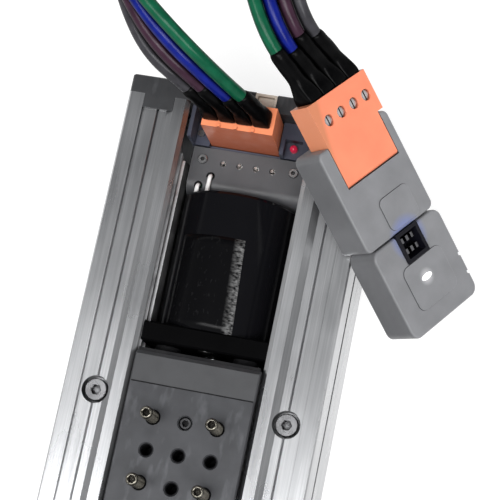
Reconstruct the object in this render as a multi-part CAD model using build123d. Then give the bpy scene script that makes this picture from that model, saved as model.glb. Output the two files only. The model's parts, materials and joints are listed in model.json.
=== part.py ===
from build123d import *
import math
import os

# Linear module with a ball guided carriage, a lead screw and a motor inside the channel.
# Millimetres. X runs across the module, +Y runs along it towards the motor and
# the connectors, +Z is up. The origin is on the underside, at the middle of the base.
# The carriage stands at the motor end, which is where the slide is at rest.

# Driving sizes of the module
LENGTH = 290.0
WIDTH = 80.0
HEIGHT = 45.0
CHANNEL = 40.0
FLOOR = 5.5
END_PLATE = 6.0
EDGE = 0.5
FIT = 0.05
GAP = 0.3
SIDES = (-1, 1)
HALF_LENGTH = LENGTH / 2
PROFILE_END = HALF_LENGTH - END_PLATE
HALF_WIDTH = WIDTH / 2
WALL_X = CHANNEL / 2

# Top of each rail: a land beside the channel, a ramp, a recess and the outer ledge
LAND = 4.9
RAMP = 2.3
LEDGE = 5.0
RAMP_TOP = WALL_X + LAND
RECESS_INNER = RAMP_TOP + RAMP
RECESS_OUTER = HALF_WIDTH - LEDGE
RECESS_DEPTH = 1.2
RECESS_Z = HEIGHT - RECESS_DEPTH
RAIL_MIDDLE = (WALL_X + HALF_WIDTH) / 2
MARK_WIDTH = 0.8
MARK_DEPTH = 0.4
LIP_CHAMFER = 1.4
LIP_CHAMFER_DEPTH = 1.1

# Inner wall of each rail: a slot above the pocket of the guide strip
SLOT_BELOW_TOP = 1.5
SLOT_HEIGHT = 3.0
SLOT_DEPTH = 2.0
STRIP_HEIGHT = 14.0
STRIP_DEPTH = 3.6
STRIP_LIP = 0.2
STRIP_SETBACK = 16.5
SLOT_TOP = HEIGHT - SLOT_BELOW_TOP
STRIP_HIGH = SLOT_TOP - SLOT_HEIGHT
STRIP_LOW = STRIP_HIGH - STRIP_HEIGHT
STRIP_END = PROFILE_END - STRIP_SETBACK

# Outer side of each rail and the underside
SIDE_SLOT_BELOW_TOP = 17.5
SIDE_SLOT_Z = HEIGHT - SIDE_SLOT_BELOW_TOP
SIDE_NECK = 3.2
SIDE_NECK_DEPTH = 1.4
SIDE_INNER = 5.6
SIDE_INNER_DEPTH = 2.4
RELIEF_DEPTH = 0.5

# Stations of the rails, counterbored for M4 screws. The pair beside the carriage holds
# its screws, and the pairs towards the idle end are open.
M4_HOLE = 2.25
M4_SHANK = 2.0
M4_HEAD = 3.5
M4_HEAD_HEIGHT = 4.0
M4_SOCKET = 3.0
M4_SOCKET_DEPTH = 2.2
BORE_RADIUS = 4.3
BORE_DEPTH = 4.6
BORE_FLOOR = RECESS_Z - BORE_DEPTH
FITTED_STATION = 43.6
STATION_PITCH = 87.2
OPEN_STATIONS = (FITTED_STATION - STATION_PITCH, FITTED_STATION - 2 * STATION_PITCH)
RAIL_SCREW_ABOVE = 3.0

# Ports in the ends of the rails for the end plate screws
UPPER_PORT_INSET = 4.2
UPPER_PORT_BELOW_TOP = 9.0
LOWER_PORT_INSET = 4.5
LOWER_PORT_Z = 12.0
PORTS = [(HALF_WIDTH - UPPER_PORT_INSET, HEIGHT - UPPER_PORT_BELOW_TOP),
         (WALL_X + LOWER_PORT_INSET, LOWER_PORT_Z)]
PORT_RADIUS = 2.1
PORT_DEPTH = 20.0
END_SCREW_REACH = 16.0
HEAD_SINK = 0.2
TONGUE = 4.5

# Small screws, M3, M2.5 and M2
M3_SHANK = 1.5
M3_HEAD = 2.75
M3_HEAD_HEIGHT = 2.8
M3_SOCKET = 2.5
M3_SOCKET_DEPTH = 1.5
M3_BOLT_X = 12.0
M3_REACH = 7.5
M25_SHANK = 1.25
M25_HEAD = 2.25
M25_HEAD_HEIGHT = 1.8
M25_SOCKET = 2.0
M25_SOCKET_DEPTH = 1.0
M25_THREAD = 9.0
M2_SHANK = 1.0
M2_HEAD = 1.5
M2_HEAD_HEIGHT = 0.9
M2_SOCKET = 1.3
M2_SOCKET_DEPTH = 0.6
M2_LENGTH = 8.0

# Guide: rows of balls between the carriage and the strips
GUIDE_Z = (STRIP_LOW + STRIP_HIGH) / 2
BALL_RADIUS = 2.0
BALL_ROW_X = WALL_X
BALL_PITCH = 4.6
BALLS_PER_ROW = 8
GROOVE_BOTTOM = WALL_X + 0.8
RETURN_X = WALL_X - 6.5
RETURN_RADIUS = 2.1

# Connector housing against the motor end plate, then the bracket, then the motor
BAY_GAP = 0.1
HOUSING_DEPTH = 10.6
SHEET = 2.0
SHEET_LENGTH = 15.4
CAP_TO_SHEET = 0.6
REAR_CAP = 4.0
MOTOR_LENGTH = 40.5
MOUNT_PLATE = 6.0
HOUSING_TO = PROFILE_END - BAY_GAP
HOUSING_FROM = HOUSING_TO - HOUSING_DEPTH
SHEET_TO = HOUSING_FROM - GAP
SHEET_FROM = SHEET_TO - SHEET_LENGTH
REAR_CAP_TO = SHEET_FROM - CAP_TO_SHEET
MOTOR_FRONT = REAR_CAP_TO - REAR_CAP
MOTOR_BACK = MOTOR_FRONT - MOTOR_LENGTH
MOUNT_FROM = MOTOR_BACK - MOUNT_PLATE

# Motor
MOTOR_RADIUS = 19.0
MOTOR_CLEAR = 0.5
MOTOR_WALL = 1.8
MOTOR_FLANGE = 3.0
MOTOR_FLANGE_BORE = 8.5
AXIS_Z = FLOOR + MOTOR_CLEAR + MOTOR_RADIUS
CAP_EDGE = 1.0
CAP_SPIGOT = 3.5
STATOR_BORE = 10.2
STATOR_FROM = MOTOR_BACK + 6.5
STATOR_TO = MOTOR_FRONT - 6.0
ROTOR_RADIUS = 9.8
ROTOR_EXTRA = 1.0
FACE_SCREW_CIRCLE = 14.0
BLOCK_HALF = WALL_X - 0.4
MOUNT_TOP = AXIS_Z + 18.5

# Lead screw, its bearings and the idle end
SCREW_RADIUS = 4.0
SCREW_CLEAR = 1.0
SCREW_TOP_Y = MOTOR_FRONT + 2.5
JOURNAL_RADIUS = 3.0
BEARING_RADIUS = 8.0
BEARING_WIDTH = 5.0
IDLE_BLOCK = 13.5
IDLE_INNER_FACE = IDLE_BLOCK - PROFILE_END
IDLE_TOP = AXIS_Z + 16.0
IDLE_BEARING_RADIUS = 9.5
IDLE_BEARING_WIDTH = 6.0
IDLE_BEARING_Y = 5.0 - PROFILE_END
SHOULDER_Y = IDLE_BEARING_Y + IDLE_BEARING_WIDTH + 1.0
JOURNAL_END = 1.0 - PROFILE_END
RING_RADIUS = 5.2
RING_THICK = 1.0
RING_GROOVE = 2.6
RING_MOUTH = 1.6
BUMPER_RADIUS = 4.0
BUMPER_THICK = 2.0
BUMPER_X = 12.5
BUMPER_Z = AXIS_Z + 9.0

# Carriage, which stands just short of the bumpers on the motor plate
STOP_GAP = 0.6
CARRIAGE_LENGTH = 40.0
END_CAP_LENGTH = 9.7
WIPER_THICK = 1.0
CARRIAGE_TO = MOUNT_FROM - BUMPER_THICK - STOP_GAP - WIPER_THICK - END_CAP_LENGTH
CARRIAGE_FROM = CARRIAGE_TO - CARRIAGE_LENGTH
CARRIAGE_Y = (CARRIAGE_FROM + CARRIAGE_TO) / 2
PLATE_ABOVE_RAIL = 1.2
PLATE_THICK = 5.3
PLATE_EDGE = 0.4
PLATE_HALF = WALL_X - 0.4
PLATE_TOP = HEIGHT + PLATE_ABOVE_RAIL
PLATE_LOW = PLATE_TOP - PLATE_THICK
CARRIAGE_HALF = WALL_X - 0.9
CARRIAGE_LOW = FLOOR + 5.5
CARRIAGE_BEVEL = 4.0
GRID_PITCH = 10.0
GRID_HOLE = 2.0
GRID_DEPTH = 9.7
GRID_CHAMFER = 0.4
STUD_RADIUS = 1.95
STUD_CORE = 1.85
STUD_HEIGHT = 11.0
STUD_CHAMFER = 0.5
STUD_TOP = PLATE_TOP + STUD_HEIGHT
SET_SCREW_TOP = PLATE_TOP - 1.0
SET_SCREW_LENGTH = 4.6
SET_SCREW_SOCKET = 2.0
SET_SCREW_CHAMFER = 0.3
END_CAP_LOW = CARRIAGE_LOW + 1.0
END_CAP_TOP = PLATE_TOP - 0.1
END_CAP_EDGE = 1.2
END_CAP_SEAT = 3.0
WIPER_INSET = 0.2
WIPER_LIP = 1.75
NUT_RADIUS = 6.0
NUT_LENGTH = 18.0
NUT_FLANGE_RADIUS = 11.0
NUT_FLANGE = 4.0
NUT_SCREW_CIRCLE = 8.4
NUT_SCREW_REACH = 6.0
CAP_SCREW_X = 14.2
CAP_SCREW_Z = CARRIAGE_LOW + 7.5
CAP_SCREW_REACH = 8.0

# Bracket over the board
SHEET_TOP = 32.0
SHEET_LOW = SHEET_TOP - SHEET
SHEET_HALF = WALL_X - 1.4
SHEET_BEND = 2.5
FOOT_BEND = 0.8
FOOT_TO = SHEET_FROM + 5.4
FOOT_SCREW_Y = SHEET_FROM + 3.7
PIN_PITCH = 5.4
PIN_COUNT = 4
PIN_Y = SHEET_TO - 4.5
PIN_RADIUS = 0.5
PIN_HOLE = 1.0
PIN_TOP = SHEET_TOP + 0.9
PIN_BLOCK = 3.0
PIN_BLOCK_WIDTH = 3.0
POST_Y = SHEET_TO - 4.0
POST_RADIUS = 2.2
POST_BORE = 7.0

# Controller board
BOARD_LOW = 12.0
BOARD_THICK = 1.6
BOARD_TOP = BOARD_LOW + BOARD_THICK
BOARD_HALF = WALL_X - 1.2
BOARD_LENGTH = 19.5
BOARD_TO = HOUSING_TO - 0.4
BOARD_FROM = BOARD_TO - BOARD_LENGTH
SPACER_Y = BOARD_TO - 3.0
POST_X = BOARD_HALF - 3.9
CHIP = (10.0, 3.0, 1.2)
CHIP_FROM_PINS = 2.5
CAPACITOR_X = 9.8
CAPACITOR_FROM_PINS = 2.6
CAPACITOR_RADIUS = 1.8
CAPACITOR_HEIGHT = 5.5

# Leads of the motor, each with the distance from the rear cap to its hole in the shelf
LEAD_RADIUS = 0.7
LEAD_HOLE = 1.4
LEAD_SET = 0.3
LEAD_DIP = 1.8
LEAD_REACH = {-11.3: 6.9, -14.7: 3.4}

# Connector housing and what stands in it
HOUSING_HALF = WALL_X - 0.5
HOUSING_LEFT_TOP = 33.0
HOUSING_RIGHT_TOP = 37.0
HOUSING_FRONT_TOP = 31.0
LINER_TOP = 42.0
LINER_THICK = 1.2
POCKET_CLEAR = 0.3
HOUSING_SCREW_X = 2.6 - HOUSING_HALF
HOUSING_SCREW_Y = (HOUSING_TO - 6.9, HOUSING_TO - 2.7)
HOUSING_SCREW_HEAD = 1.1
HOUSING_SCREW_HEIGHT = 0.9
LED_X = HOUSING_HALF - 5.8
LED_WINDOW = (HOUSING_HALF - 8.5, HOUSING_HALF - 2.7)
LED_WINDOW_TO = HOUSING_FROM + 5.2
LED_WINDOW_DEPTH = 4.0
LED_RADIUS = 1.2
HEADER_TOP = 25.5
HEADER_INSET = 0.6
SOCKET_X = (0.3, 7.2)
SOCKET_Z = (HEIGHT - 8.0, HEIGHT + 0.2)
SOCKET_DEPTH = 5.6
SOCKET_WALL = 0.8
SOCKET_BASE = 2.0
SOCKET_PIN = 0.6
SOCKET_PIN_INSET = 1.4

# Screw terminal plug, used at both ends of the harness
POLE_PITCH = 5.4
POLES = 4
PLUG_THICK = 8.8
PLUG_ABOVE = 7.0
PLUG_BELOW = 20.5
PLUG_EDGE = 0.6
PLUG_HOLE = 2.2
PLUG_HOLE_DEPTH = 5.0
PLUG_WIRE_AXIS = 4.4
PLUG_SCREW = 1.6
PLUG_SCREW_LOW = 6.0
PLUG_SCREW_TOP = 8.0
PLUG_SCREW_BORE = 1.8
PLUG_SLOT = 0.5
PLUG_SLOT_DEPTH = 0.7
TOOTH = 0.9
MODULE_PLUG_POLE = (-2.3, HOUSING_FROM + 1.0, 46.0)
MODULE_PLUG_SPAN = (-11.7, 11.0)
ADAPTER_PLUG_SPAN = (-13.1, 9.2)
LUG_WIDTH = 2.4
LUG_BELOW = 6.2

# Adapter that leans on the edge of the right rail, held there by the stiff harness.
# Its own places are measured from the corner: x across it, y towards the wires.
LEAN = 41.8
TURN = 47.2
ADAPTER_CORNER = (20.8, PROFILE_END - 7.4)
ADAPTER_THICK = 12.2
ADAPTER_POLE = 7.6
UPPER_SPAN = (-10.3, 20.0)
UPPER_FROM = 6.8
UPPER_TO = 40.9
UPPER_CORNER = 2.2
UPPER_PAD = ((1.4, 14.0), (1.2 - UPPER_TO, -29.1))
UPPER_PAD_CORNER = 2.0
LOWER_SPAN = (-9.5, 20.8)
LOWER_FROM = 41.5
LOWER_TO = 72.0
LOWER_CORNER = 3.2
SHELL_EDGE = 0.8
PAD_RAISE = 0.35
PAD_ROOT = 1.0
SOCKET_SPAN = (1.1, 10.6)
SOCKET_TO = 50.8
SOCKET_LOW = 4.2
SOCKET_TOP = 12.9
SOCKET_RIM = 1.1
SOCKET_FLOOR = 7.0
LOWER_PAD = ((-2.5, 14.8), (-65.9, -0.4 - SOCKET_TO))
LOWER_PAD_CORNER = 2.5
NOTCHES = (58.5, 65.0)
NOTCH_WIDTH = 1.4
NOTCH_DEPTH = 1.0
CONTACT = (1.0, 1.6)
CONTACT_PITCH = (2.2, 3.6)
CONTACT_BELOW_RIM = 1.6

# Harness of four wires
WIRE_RADIUS = 2.1
SLEEVE_RADIUS = 2.65
MODULE_SLEEVE_RUNS = 3
ADAPTER_SLEEVE_RUNS = 4
WIRE_NAMES = ["grey", "violet", "blue", "green"]

# The harness rises from the plug in the module, passes over the end plate, lies on the
# table behind it and rises again to the plug of the adapter. Each row gives the middle
# of the four wires and the step from one wire to the next, in millimetres.
HARNESS = [
    ((-2.3, 133.7, 48.0), (5.4, 0.0, 0.0)),
    ((-2.3, 133.7, 60.0), (5.4, 0.0, 0.3)),
    ((-10.6, 136.4, 73.0), (4.6, 0.2, 1.6)),
    ((-23.0, 144.5, 82.5), (2.7, 0.7, 3.6)),
    ((-35.5, 157.0, 86.5), (0.6, 0.5, 4.5)),
    ((-45.5, 170.5, 84.0), (-0.4, 0.6, 4.6)),
    ((-52.0, 185.0, 72.0), (-1.3, 2.2, 3.8)),
    ((-54.5, 196.0, 55.0), (-0.7, 3.8, 2.4)),
    ((-53.5, 202.0, 35.0), (0.0, 4.5, 0.9)),
    ((-45.5, 206.0, 15.5), (0.0, 4.6, 0.2)),
    ((-28.0, 208.0, 2.2), (0.0, 4.6, 0.0)),
    ((-11.0, 208.0, 2.2), (0.0, 4.6, 0.0)),
    ((2.5, 208.0, 15.5), (-0.8, 4.6, 0.0)),
    ((6.5, 207.0, 35.0), (-2.6, 3.9, 0.4)),
    ((6.5, 205.0, 53.0), (-4.1, 2.4, 0.4)),
    ((4.5, 200.5, 70.0), (-4.6, 0.6, 0.4)),
    ((3.0, 190.5, 83.5), (-4.7, -0.6, 0.4)),
    ((3.8, 177.0, 89.5), (-4.4, -2.0, 0.2)),
    ((8.5, 163.5, 88.5), (-4.1, -2.8, 0.3)),
    ((15.5, 151.5, 82.5), (-3.8, -3.4, 1.2)),
    ((22.96, 145.75, 70.99), (-2.735, -3.962, 2.446)),
    ((28.76, 138.55, 65.81), (-2.735, -3.962, 2.446)),
]


def box(x_range, y_range, z_range):
    """Block between two limits along each axis."""
    middle = [(low + high) / 2 for low, high in (x_range, y_range, z_range)]
    size = [high - low for low, high in (x_range, y_range, z_range)]
    return Pos(*middle) * Box(*size)


def rod_y(x, z, radius, y_from, y_to):
    """Round bar along Y."""
    return Pos(x, (y_from + y_to) / 2, z) * Rot(90, 0, 0) * Cylinder(radius, y_to - y_from)


def rod_z(x, y, radius, z_from, z_to):
    """Round bar along Z."""
    return Pos(x, y, (z_from + z_to) / 2) * Cylinder(radius, z_to - z_from)


def tube_y(x, z, outer, inner, y_from, y_to):
    """Round tube along Y."""
    return rod_y(x, z, outer, y_from, y_to) - rod_y(x, z, inner, y_from, y_to)


def along_y(points, y_from, y_to):
    """Outline of (x, z) points drawn out along Y."""
    plane = Plane(origin=(0, y_to, 0), x_dir=(1, 0, 0), z_dir=(0, -1, 0))
    return extrude(plane * Polygon(*points, align=None), amount=y_to - y_from, dir=(0, -1, 0))


def both_sides(right_points):
    """Closed outline from its right half, which starts and ends on the middle line."""
    left = [(-x, z) for x, z in reversed(right_points) if x > 0]
    return right_points + left


def hexagon(across, height):
    """Six sided hole of a socket screw, from z 0 upwards."""
    return extrude(RegularPolygon(across / 2, 6, major_radius=False), height)


def cap_screw(head, head_height, shank, length, socket, socket_depth):
    """Socket head cap screw: the head stands on z 0 and the shank hangs below."""
    screw = Pos(0, 0, head_height / 2) * Cylinder(head, head_height)
    screw = chamfer(screw.edges().group_by(Axis.Z)[-1], head * 0.08)
    screw += Pos(0, 0, -length / 2) * Cylinder(shank, length)
    return screw - Pos(0, 0, head_height - socket_depth) * hexagon(socket, socket_depth)


def m4_screw(length):
    return cap_screw(M4_HEAD, M4_HEAD_HEIGHT, M4_SHANK, length, M4_SOCKET, M4_SOCKET_DEPTH)


def m3_screw(length):
    return cap_screw(M3_HEAD, M3_HEAD_HEIGHT, M3_SHANK, length, M3_SOCKET, M3_SOCKET_DEPTH)


def m25_screw(length):
    return cap_screw(M25_HEAD, M25_HEAD_HEIGHT, M25_SHANK, length, M25_SOCKET, M25_SOCKET_DEPTH)


def m2_screw(length):
    return cap_screw(M2_HEAD, M2_HEAD_HEIGHT, M2_SHANK, length, M2_SOCKET, M2_SOCKET_DEPTH)


def group(solids):
    """Separate solids that share one node."""
    return Compound(children=list(solids))


def rail_outline():
    """Right half of the extruded profile, from the floor of the channel round the rail."""
    return [
        (0, RELIEF_DEPTH),
        (WALL_X, RELIEF_DEPTH),
        (WALL_X, 0),
        (HALF_WIDTH - EDGE, 0),
        (HALF_WIDTH, EDGE),
        (HALF_WIDTH, SIDE_SLOT_Z - SIDE_NECK / 2),
        (HALF_WIDTH - SIDE_NECK_DEPTH, SIDE_SLOT_Z - SIDE_NECK / 2),
        (HALF_WIDTH - SIDE_NECK_DEPTH, SIDE_SLOT_Z - SIDE_INNER / 2),
        (HALF_WIDTH - SIDE_NECK_DEPTH - SIDE_INNER_DEPTH, SIDE_SLOT_Z - SIDE_INNER / 2),
        (HALF_WIDTH - SIDE_NECK_DEPTH - SIDE_INNER_DEPTH, SIDE_SLOT_Z + SIDE_INNER / 2),
        (HALF_WIDTH - SIDE_NECK_DEPTH, SIDE_SLOT_Z + SIDE_INNER / 2),
        (HALF_WIDTH - SIDE_NECK_DEPTH, SIDE_SLOT_Z + SIDE_NECK / 2),
        (HALF_WIDTH, SIDE_SLOT_Z + SIDE_NECK / 2),
        (HALF_WIDTH, HEIGHT - EDGE),
        (HALF_WIDTH - EDGE, HEIGHT),
        (RECESS_OUTER, HEIGHT),
        (RECESS_OUTER, RECESS_Z),
        (RAIL_MIDDLE + MARK_WIDTH / 2, RECESS_Z),
        (RAIL_MIDDLE, RECESS_Z - MARK_DEPTH),
        (RAIL_MIDDLE - MARK_WIDTH / 2, RECESS_Z),
        (RECESS_INNER, RECESS_Z),
        (RAMP_TOP, HEIGHT),
        (WALL_X + LIP_CHAMFER, HEIGHT),
        (WALL_X, HEIGHT - LIP_CHAMFER_DEPTH),
        (WALL_X, SLOT_TOP),
        (WALL_X + SLOT_DEPTH, SLOT_TOP),
        (WALL_X + SLOT_DEPTH, STRIP_HIGH),
        (WALL_X + STRIP_DEPTH, STRIP_HIGH),
        (WALL_X + STRIP_DEPTH, STRIP_LOW),
        (WALL_X, STRIP_LOW),
        (WALL_X, FLOOR),
        (0, FLOOR),
    ]


def floor_hole(x, y, head, head_height, shank):
    """Hole through the floor for a screw that comes from below."""
    seat = RELIEF_DEPTH + head_height
    return rod_z(x, y, head + GAP, 0, seat) + rod_z(x, y, shank + FIT, 0, FLOOR)


def floor_screw_places():
    """Screws from below that hold the motor plate and the idle block."""
    plate_y = MOTOR_BACK - MOUNT_PLATE / 2
    block_y = (IDLE_INNER_FACE - PROFILE_END) / 2
    return [(side * M3_BOLT_X, y) for side in SIDES for y in (plate_y, block_y)]


def base_profile():
    """The extruded base: two rails and the floor between them."""
    profile = along_y(both_sides(rail_outline()), -PROFILE_END, PROFILE_END)
    for side in SIDES:
        for y in (FITTED_STATION, *OPEN_STATIONS):
            x = side * RAIL_MIDDLE
            profile -= rod_z(x, y, M4_HOLE, 0, HEIGHT)
            profile -= rod_z(x, y, BORE_RADIUS, BORE_FLOOR, HEIGHT)
        for x, z in PORTS:
            for y_from, y_to in ((-PROFILE_END, PORT_DEPTH - PROFILE_END), (PROFILE_END - PORT_DEPTH, PROFILE_END)):
                profile -= rod_y(side * x, z, PORT_RADIUS, y_from, y_to)
        profile -= floor_hole(side * M3_BOLT_X, FOOT_SCREW_Y, M25_HEAD, M25_HEAD_HEIGHT, M25_SHANK)
    for x, y in floor_screw_places():
        profile -= floor_hole(x, y, M3_HEAD, M3_HEAD_HEIGHT, M3_SHANK)
    return profile


def rail_screws():
    """M4 cap screws that stand in the counterbores beside the carriage."""
    length = BORE_FLOOR - RAIL_SCREW_ABOVE
    return group(Pos(side * RAIL_MIDDLE, FITTED_STATION, BORE_FLOOR) * m4_screw(length) for side in SIDES)


def end_plate(direction):
    """Plate across one end, with a tongue that closes the recess of each rail."""
    inner = direction * PROFILE_END
    outer = direction * HALF_LENGTH
    outline = [
        (HALF_WIDTH - EDGE, 0),
        (HALF_WIDTH, EDGE),
        (HALF_WIDTH, HEIGHT - EDGE),
        (HALF_WIDTH - EDGE, HEIGHT),
    ]
    plate = along_y(both_sides(outline), min(inner, outer), max(inner, outer))
    outer_face = plate.faces().sort_by(Axis.Y)[-1 if direction > 0 else 0]
    plate = chamfer(outer_face.edges(), EDGE)
    for side in SIDES:
        for x, z in PORTS:
            seat = outer - direction * (M4_HEAD_HEIGHT + HEAD_SINK)
            plate -= rod_y(side * x, z, M4_HEAD + GAP, min(seat, outer), max(seat, outer))
            plate -= rod_y(side * x, z, M4_SHANK + FIT, min(inner, outer), max(inner, outer))
        tip = inner - direction * TONGUE
        tongue = [(RECESS_INNER, RECESS_Z), (RECESS_OUTER - FIT, RECESS_Z),
                  (RECESS_OUTER - FIT, HEIGHT), (RAMP_TOP + GAP, HEIGHT)]
        tongue = [(side * x, z) for x, z in tongue]
        plate += along_y(tongue, min(tip, inner), max(tip, inner))
    return plate


def motor_end_plate():
    """End plate with the notch for the sensor socket."""
    notch_x = (SOCKET_X[0] - FIT, SOCKET_X[1] + FIT)
    return end_plate(1) - box(notch_x, (PROFILE_END, HALF_LENGTH), (SOCKET_Z[0], HEIGHT + 1))


def end_plate_screws():
    screws = []
    for direction in SIDES:
        seat = direction * (HALF_LENGTH - M4_HEAD_HEIGHT - HEAD_SINK)
        for side in SIDES:
            for x, z in PORTS:
                place = Pos(side * x, seat, z) * Rot(-90 * direction, 0, 0)
                screws.append(place * m4_screw(END_SCREW_REACH))
    return group(screws)


def guide_strip(side):
    """Steel strip with the gothic groove that the balls run in."""
    back = WALL_X + STRIP_DEPTH
    front = WALL_X - STRIP_LIP
    outline = [(back, STRIP_LOW + FIT), (front, STRIP_LOW + FIT), (GROOVE_BOTTOM, GUIDE_Z),
               (front, STRIP_HIGH - FIT), (back, STRIP_HIGH - FIT)]
    strip = along_y([(side * x, z) for x, z in outline], -PROFILE_END, STRIP_END)
    return strip - rod_y(side * BALL_ROW_X, GUIDE_Z, BALL_RADIUS + FIT, -PROFILE_END, STRIP_END)


def motor_mount_plate():
    """Plate across the channel that carries the motor and the drive side bearing."""
    plate = box((-BLOCK_HALF, BLOCK_HALF), (MOUNT_FROM, MOTOR_BACK), (FLOOR, MOUNT_TOP))
    plate = chamfer(plate.edges().filter_by(Axis.X).group_by(Axis.Z)[-1], EDGE)
    plate -= rod_y(0, AXIS_Z, BEARING_RADIUS + FIT, MOTOR_BACK - BEARING_WIDTH, MOTOR_BACK)
    plate -= rod_y(0, AXIS_Z, SCREW_RADIUS + SCREW_CLEAR, MOUNT_FROM, MOTOR_BACK)
    for x, z in face_screw_places():
        plate -= rod_y(x, z, M25_HEAD + GAP, MOUNT_FROM, MOUNT_FROM + M25_HEAD_HEIGHT + HEAD_SINK)
        plate -= rod_y(x, z, M25_SHANK + FIT, MOUNT_FROM, MOTOR_BACK)
    for side in SIDES:
        y = MOTOR_BACK - MOUNT_PLATE / 2
        plate -= rod_z(side * M3_BOLT_X, y, M3_SHANK + FIT, FLOOR, FLOOR + M3_REACH)
    return plate


def face_screw_places():
    """Four screws round the axis, at the top, the bottom and the two sides."""
    angles = [math.radians(90 * step) for step in range(4)]
    return [(FACE_SCREW_CIRCLE * math.cos(a), AXIS_Z + FACE_SCREW_CIRCLE * math.sin(a)) for a in angles]


def motor_face_screws():
    seat = MOUNT_FROM + M25_HEAD_HEIGHT + HEAD_SINK
    reach = MOTOR_BACK + MOTOR_FLANGE - seat
    return group(Pos(x, seat, z) * Rot(90, 0, 0) * m25_screw(reach) for x, z in face_screw_places())


def floor_screws(y):
    """Pair of M3 screws that come up through the floor."""
    seat = RELIEF_DEPTH + M3_HEAD_HEIGHT
    length = FLOOR - seat + M3_REACH
    return group(Pos(side * M3_BOLT_X, y, seat) * Rot(180, 0, 0) * m3_screw(length) for side in SIDES)


def motor_shell():
    """Drawn motor can with its inner front flange."""
    shell = rod_y(0, AXIS_Z, MOTOR_RADIUS, MOTOR_BACK, MOTOR_FRONT)
    shell -= rod_y(0, AXIS_Z, MOTOR_RADIUS - MOTOR_WALL, MOTOR_BACK + MOTOR_FLANGE, MOTOR_FRONT)
    shell -= rod_y(0, AXIS_Z, MOTOR_FLANGE_BORE, MOTOR_BACK, MOTOR_FRONT)
    for x, z in face_screw_places():
        shell -= rod_y(x, z, M25_SHANK + FIT, MOTOR_BACK, MOTOR_BACK + MOTOR_FLANGE)
    return shell


def motor_rear_cap():
    """Cap that closes the can and carries the second motor bearing."""
    spigot = MOTOR_RADIUS - MOTOR_WALL - FIT
    cap = rod_y(0, AXIS_Z, MOTOR_RADIUS, MOTOR_FRONT, REAR_CAP_TO)
    cap = chamfer(cap.edges().group_by(Axis.Y)[-1], CAP_EDGE)
    cap += rod_y(0, AXIS_Z, spigot, MOTOR_FRONT - CAP_SPIGOT, MOTOR_FRONT)
    cap -= rod_y(0, AXIS_Z, BEARING_RADIUS + FIT, MOTOR_FRONT - CAP_SPIGOT, SCREW_TOP_Y)
    return cap


def stator():
    return tube_y(0, AXIS_Z, MOTOR_RADIUS - MOTOR_WALL - FIT, STATOR_BORE, STATOR_FROM, STATOR_TO)


def motor_bearings():
    """One bearing in the mounting plate and one in the rear cap."""
    starts = (MOTOR_BACK - BEARING_WIDTH, SCREW_TOP_Y - BEARING_WIDTH)
    bore = SCREW_RADIUS + FIT
    return group(tube_y(0, AXIS_Z, BEARING_RADIUS, bore, y, y + BEARING_WIDTH) for y in starts)


def rotor():
    bore = SCREW_RADIUS + FIT
    return tube_y(0, AXIS_Z, ROTOR_RADIUS, bore, STATOR_FROM - ROTOR_EXTRA, STATOR_TO + ROTOR_EXTRA)


def lead_screw():
    """Screw and motor shaft in one piece, with the journal for the idle bearing."""
    screw = rod_y(0, AXIS_Z, SCREW_RADIUS, SHOULDER_Y, SCREW_TOP_Y)
    screw += rod_y(0, AXIS_Z, JOURNAL_RADIUS, JOURNAL_END, SHOULDER_Y)
    groove_from = IDLE_BEARING_Y - RING_THICK - 2 * FIT
    groove = tube_y(0, AXIS_Z, JOURNAL_RADIUS + 1, RING_GROOVE, groove_from - FIT, groove_from + RING_THICK + FIT)
    return screw - groove


def retaining_ring():
    """Open ring that keeps the journal in the idle bearing."""
    y_from = IDLE_BEARING_Y - RING_THICK - 2 * FIT
    ring = tube_y(0, AXIS_Z, RING_RADIUS, RING_GROOVE + FIT / 2, y_from, y_from + RING_THICK)
    return ring - box((-RING_MOUTH, RING_MOUTH), (y_from, y_from + RING_THICK), (AXIS_Z, AXIS_Z + RING_RADIUS))


def idle_bearing_block():
    """Block at the idle end, bored for its bearing from behind."""
    block = box((-BLOCK_HALF, BLOCK_HALF), (-PROFILE_END, IDLE_INNER_FACE), (FLOOR, IDLE_TOP))
    block = chamfer(block.edges().filter_by(Axis.X).group_by(Axis.Z)[-1], EDGE)
    seat = IDLE_BEARING_Y + IDLE_BEARING_WIDTH
    block -= rod_y(0, AXIS_Z, IDLE_BEARING_RADIUS + FIT, -PROFILE_END, seat)
    block -= rod_y(0, AXIS_Z, SCREW_RADIUS + SCREW_CLEAR, seat, IDLE_INNER_FACE)
    y = (IDLE_INNER_FACE - PROFILE_END) / 2
    for side in SIDES:
        block -= rod_z(side * M3_BOLT_X, y, M3_SHANK + FIT, FLOOR, FLOOR + M3_REACH)
    return block


def idle_bearing():
    bore = JOURNAL_RADIUS + FIT
    y_to = IDLE_BEARING_Y + IDLE_BEARING_WIDTH
    return tube_y(0, AXIS_Z, IDLE_BEARING_RADIUS, bore, IDLE_BEARING_Y, y_to)


def bumpers(y_from, y_to):
    return group(rod_y(side * BUMPER_X, BUMPER_Z, BUMPER_RADIUS, y_from, y_to) for side in SIDES)


def grid_places():
    """Three by three holes of the carriage plate."""
    steps = (-GRID_PITCH, 0, GRID_PITCH)
    return [(x, CARRIAGE_Y + y) for x in steps for y in steps]


def stud_places():
    return [(x * GRID_PITCH, CARRIAGE_Y + y * GRID_PITCH) for x in SIDES for y in SIDES]


def carriage_plate():
    plate = box((-PLATE_HALF, PLATE_HALF), (CARRIAGE_FROM, CARRIAGE_TO), (PLATE_LOW, PLATE_TOP))
    plate = chamfer(plate.edges().filter_by(Axis.Y).group_by(Axis.Z)[-1], PLATE_EDGE)
    for x, y in grid_places():
        plate -= rod_z(x, y, GRID_HOLE, PLATE_LOW, PLATE_TOP)
        cone = Cone(GRID_HOLE, GRID_HOLE + GRID_CHAMFER, GRID_CHAMFER)
        plate -= Pos(x, y, PLATE_TOP - GRID_CHAMFER / 2) * cone
    return plate


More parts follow.
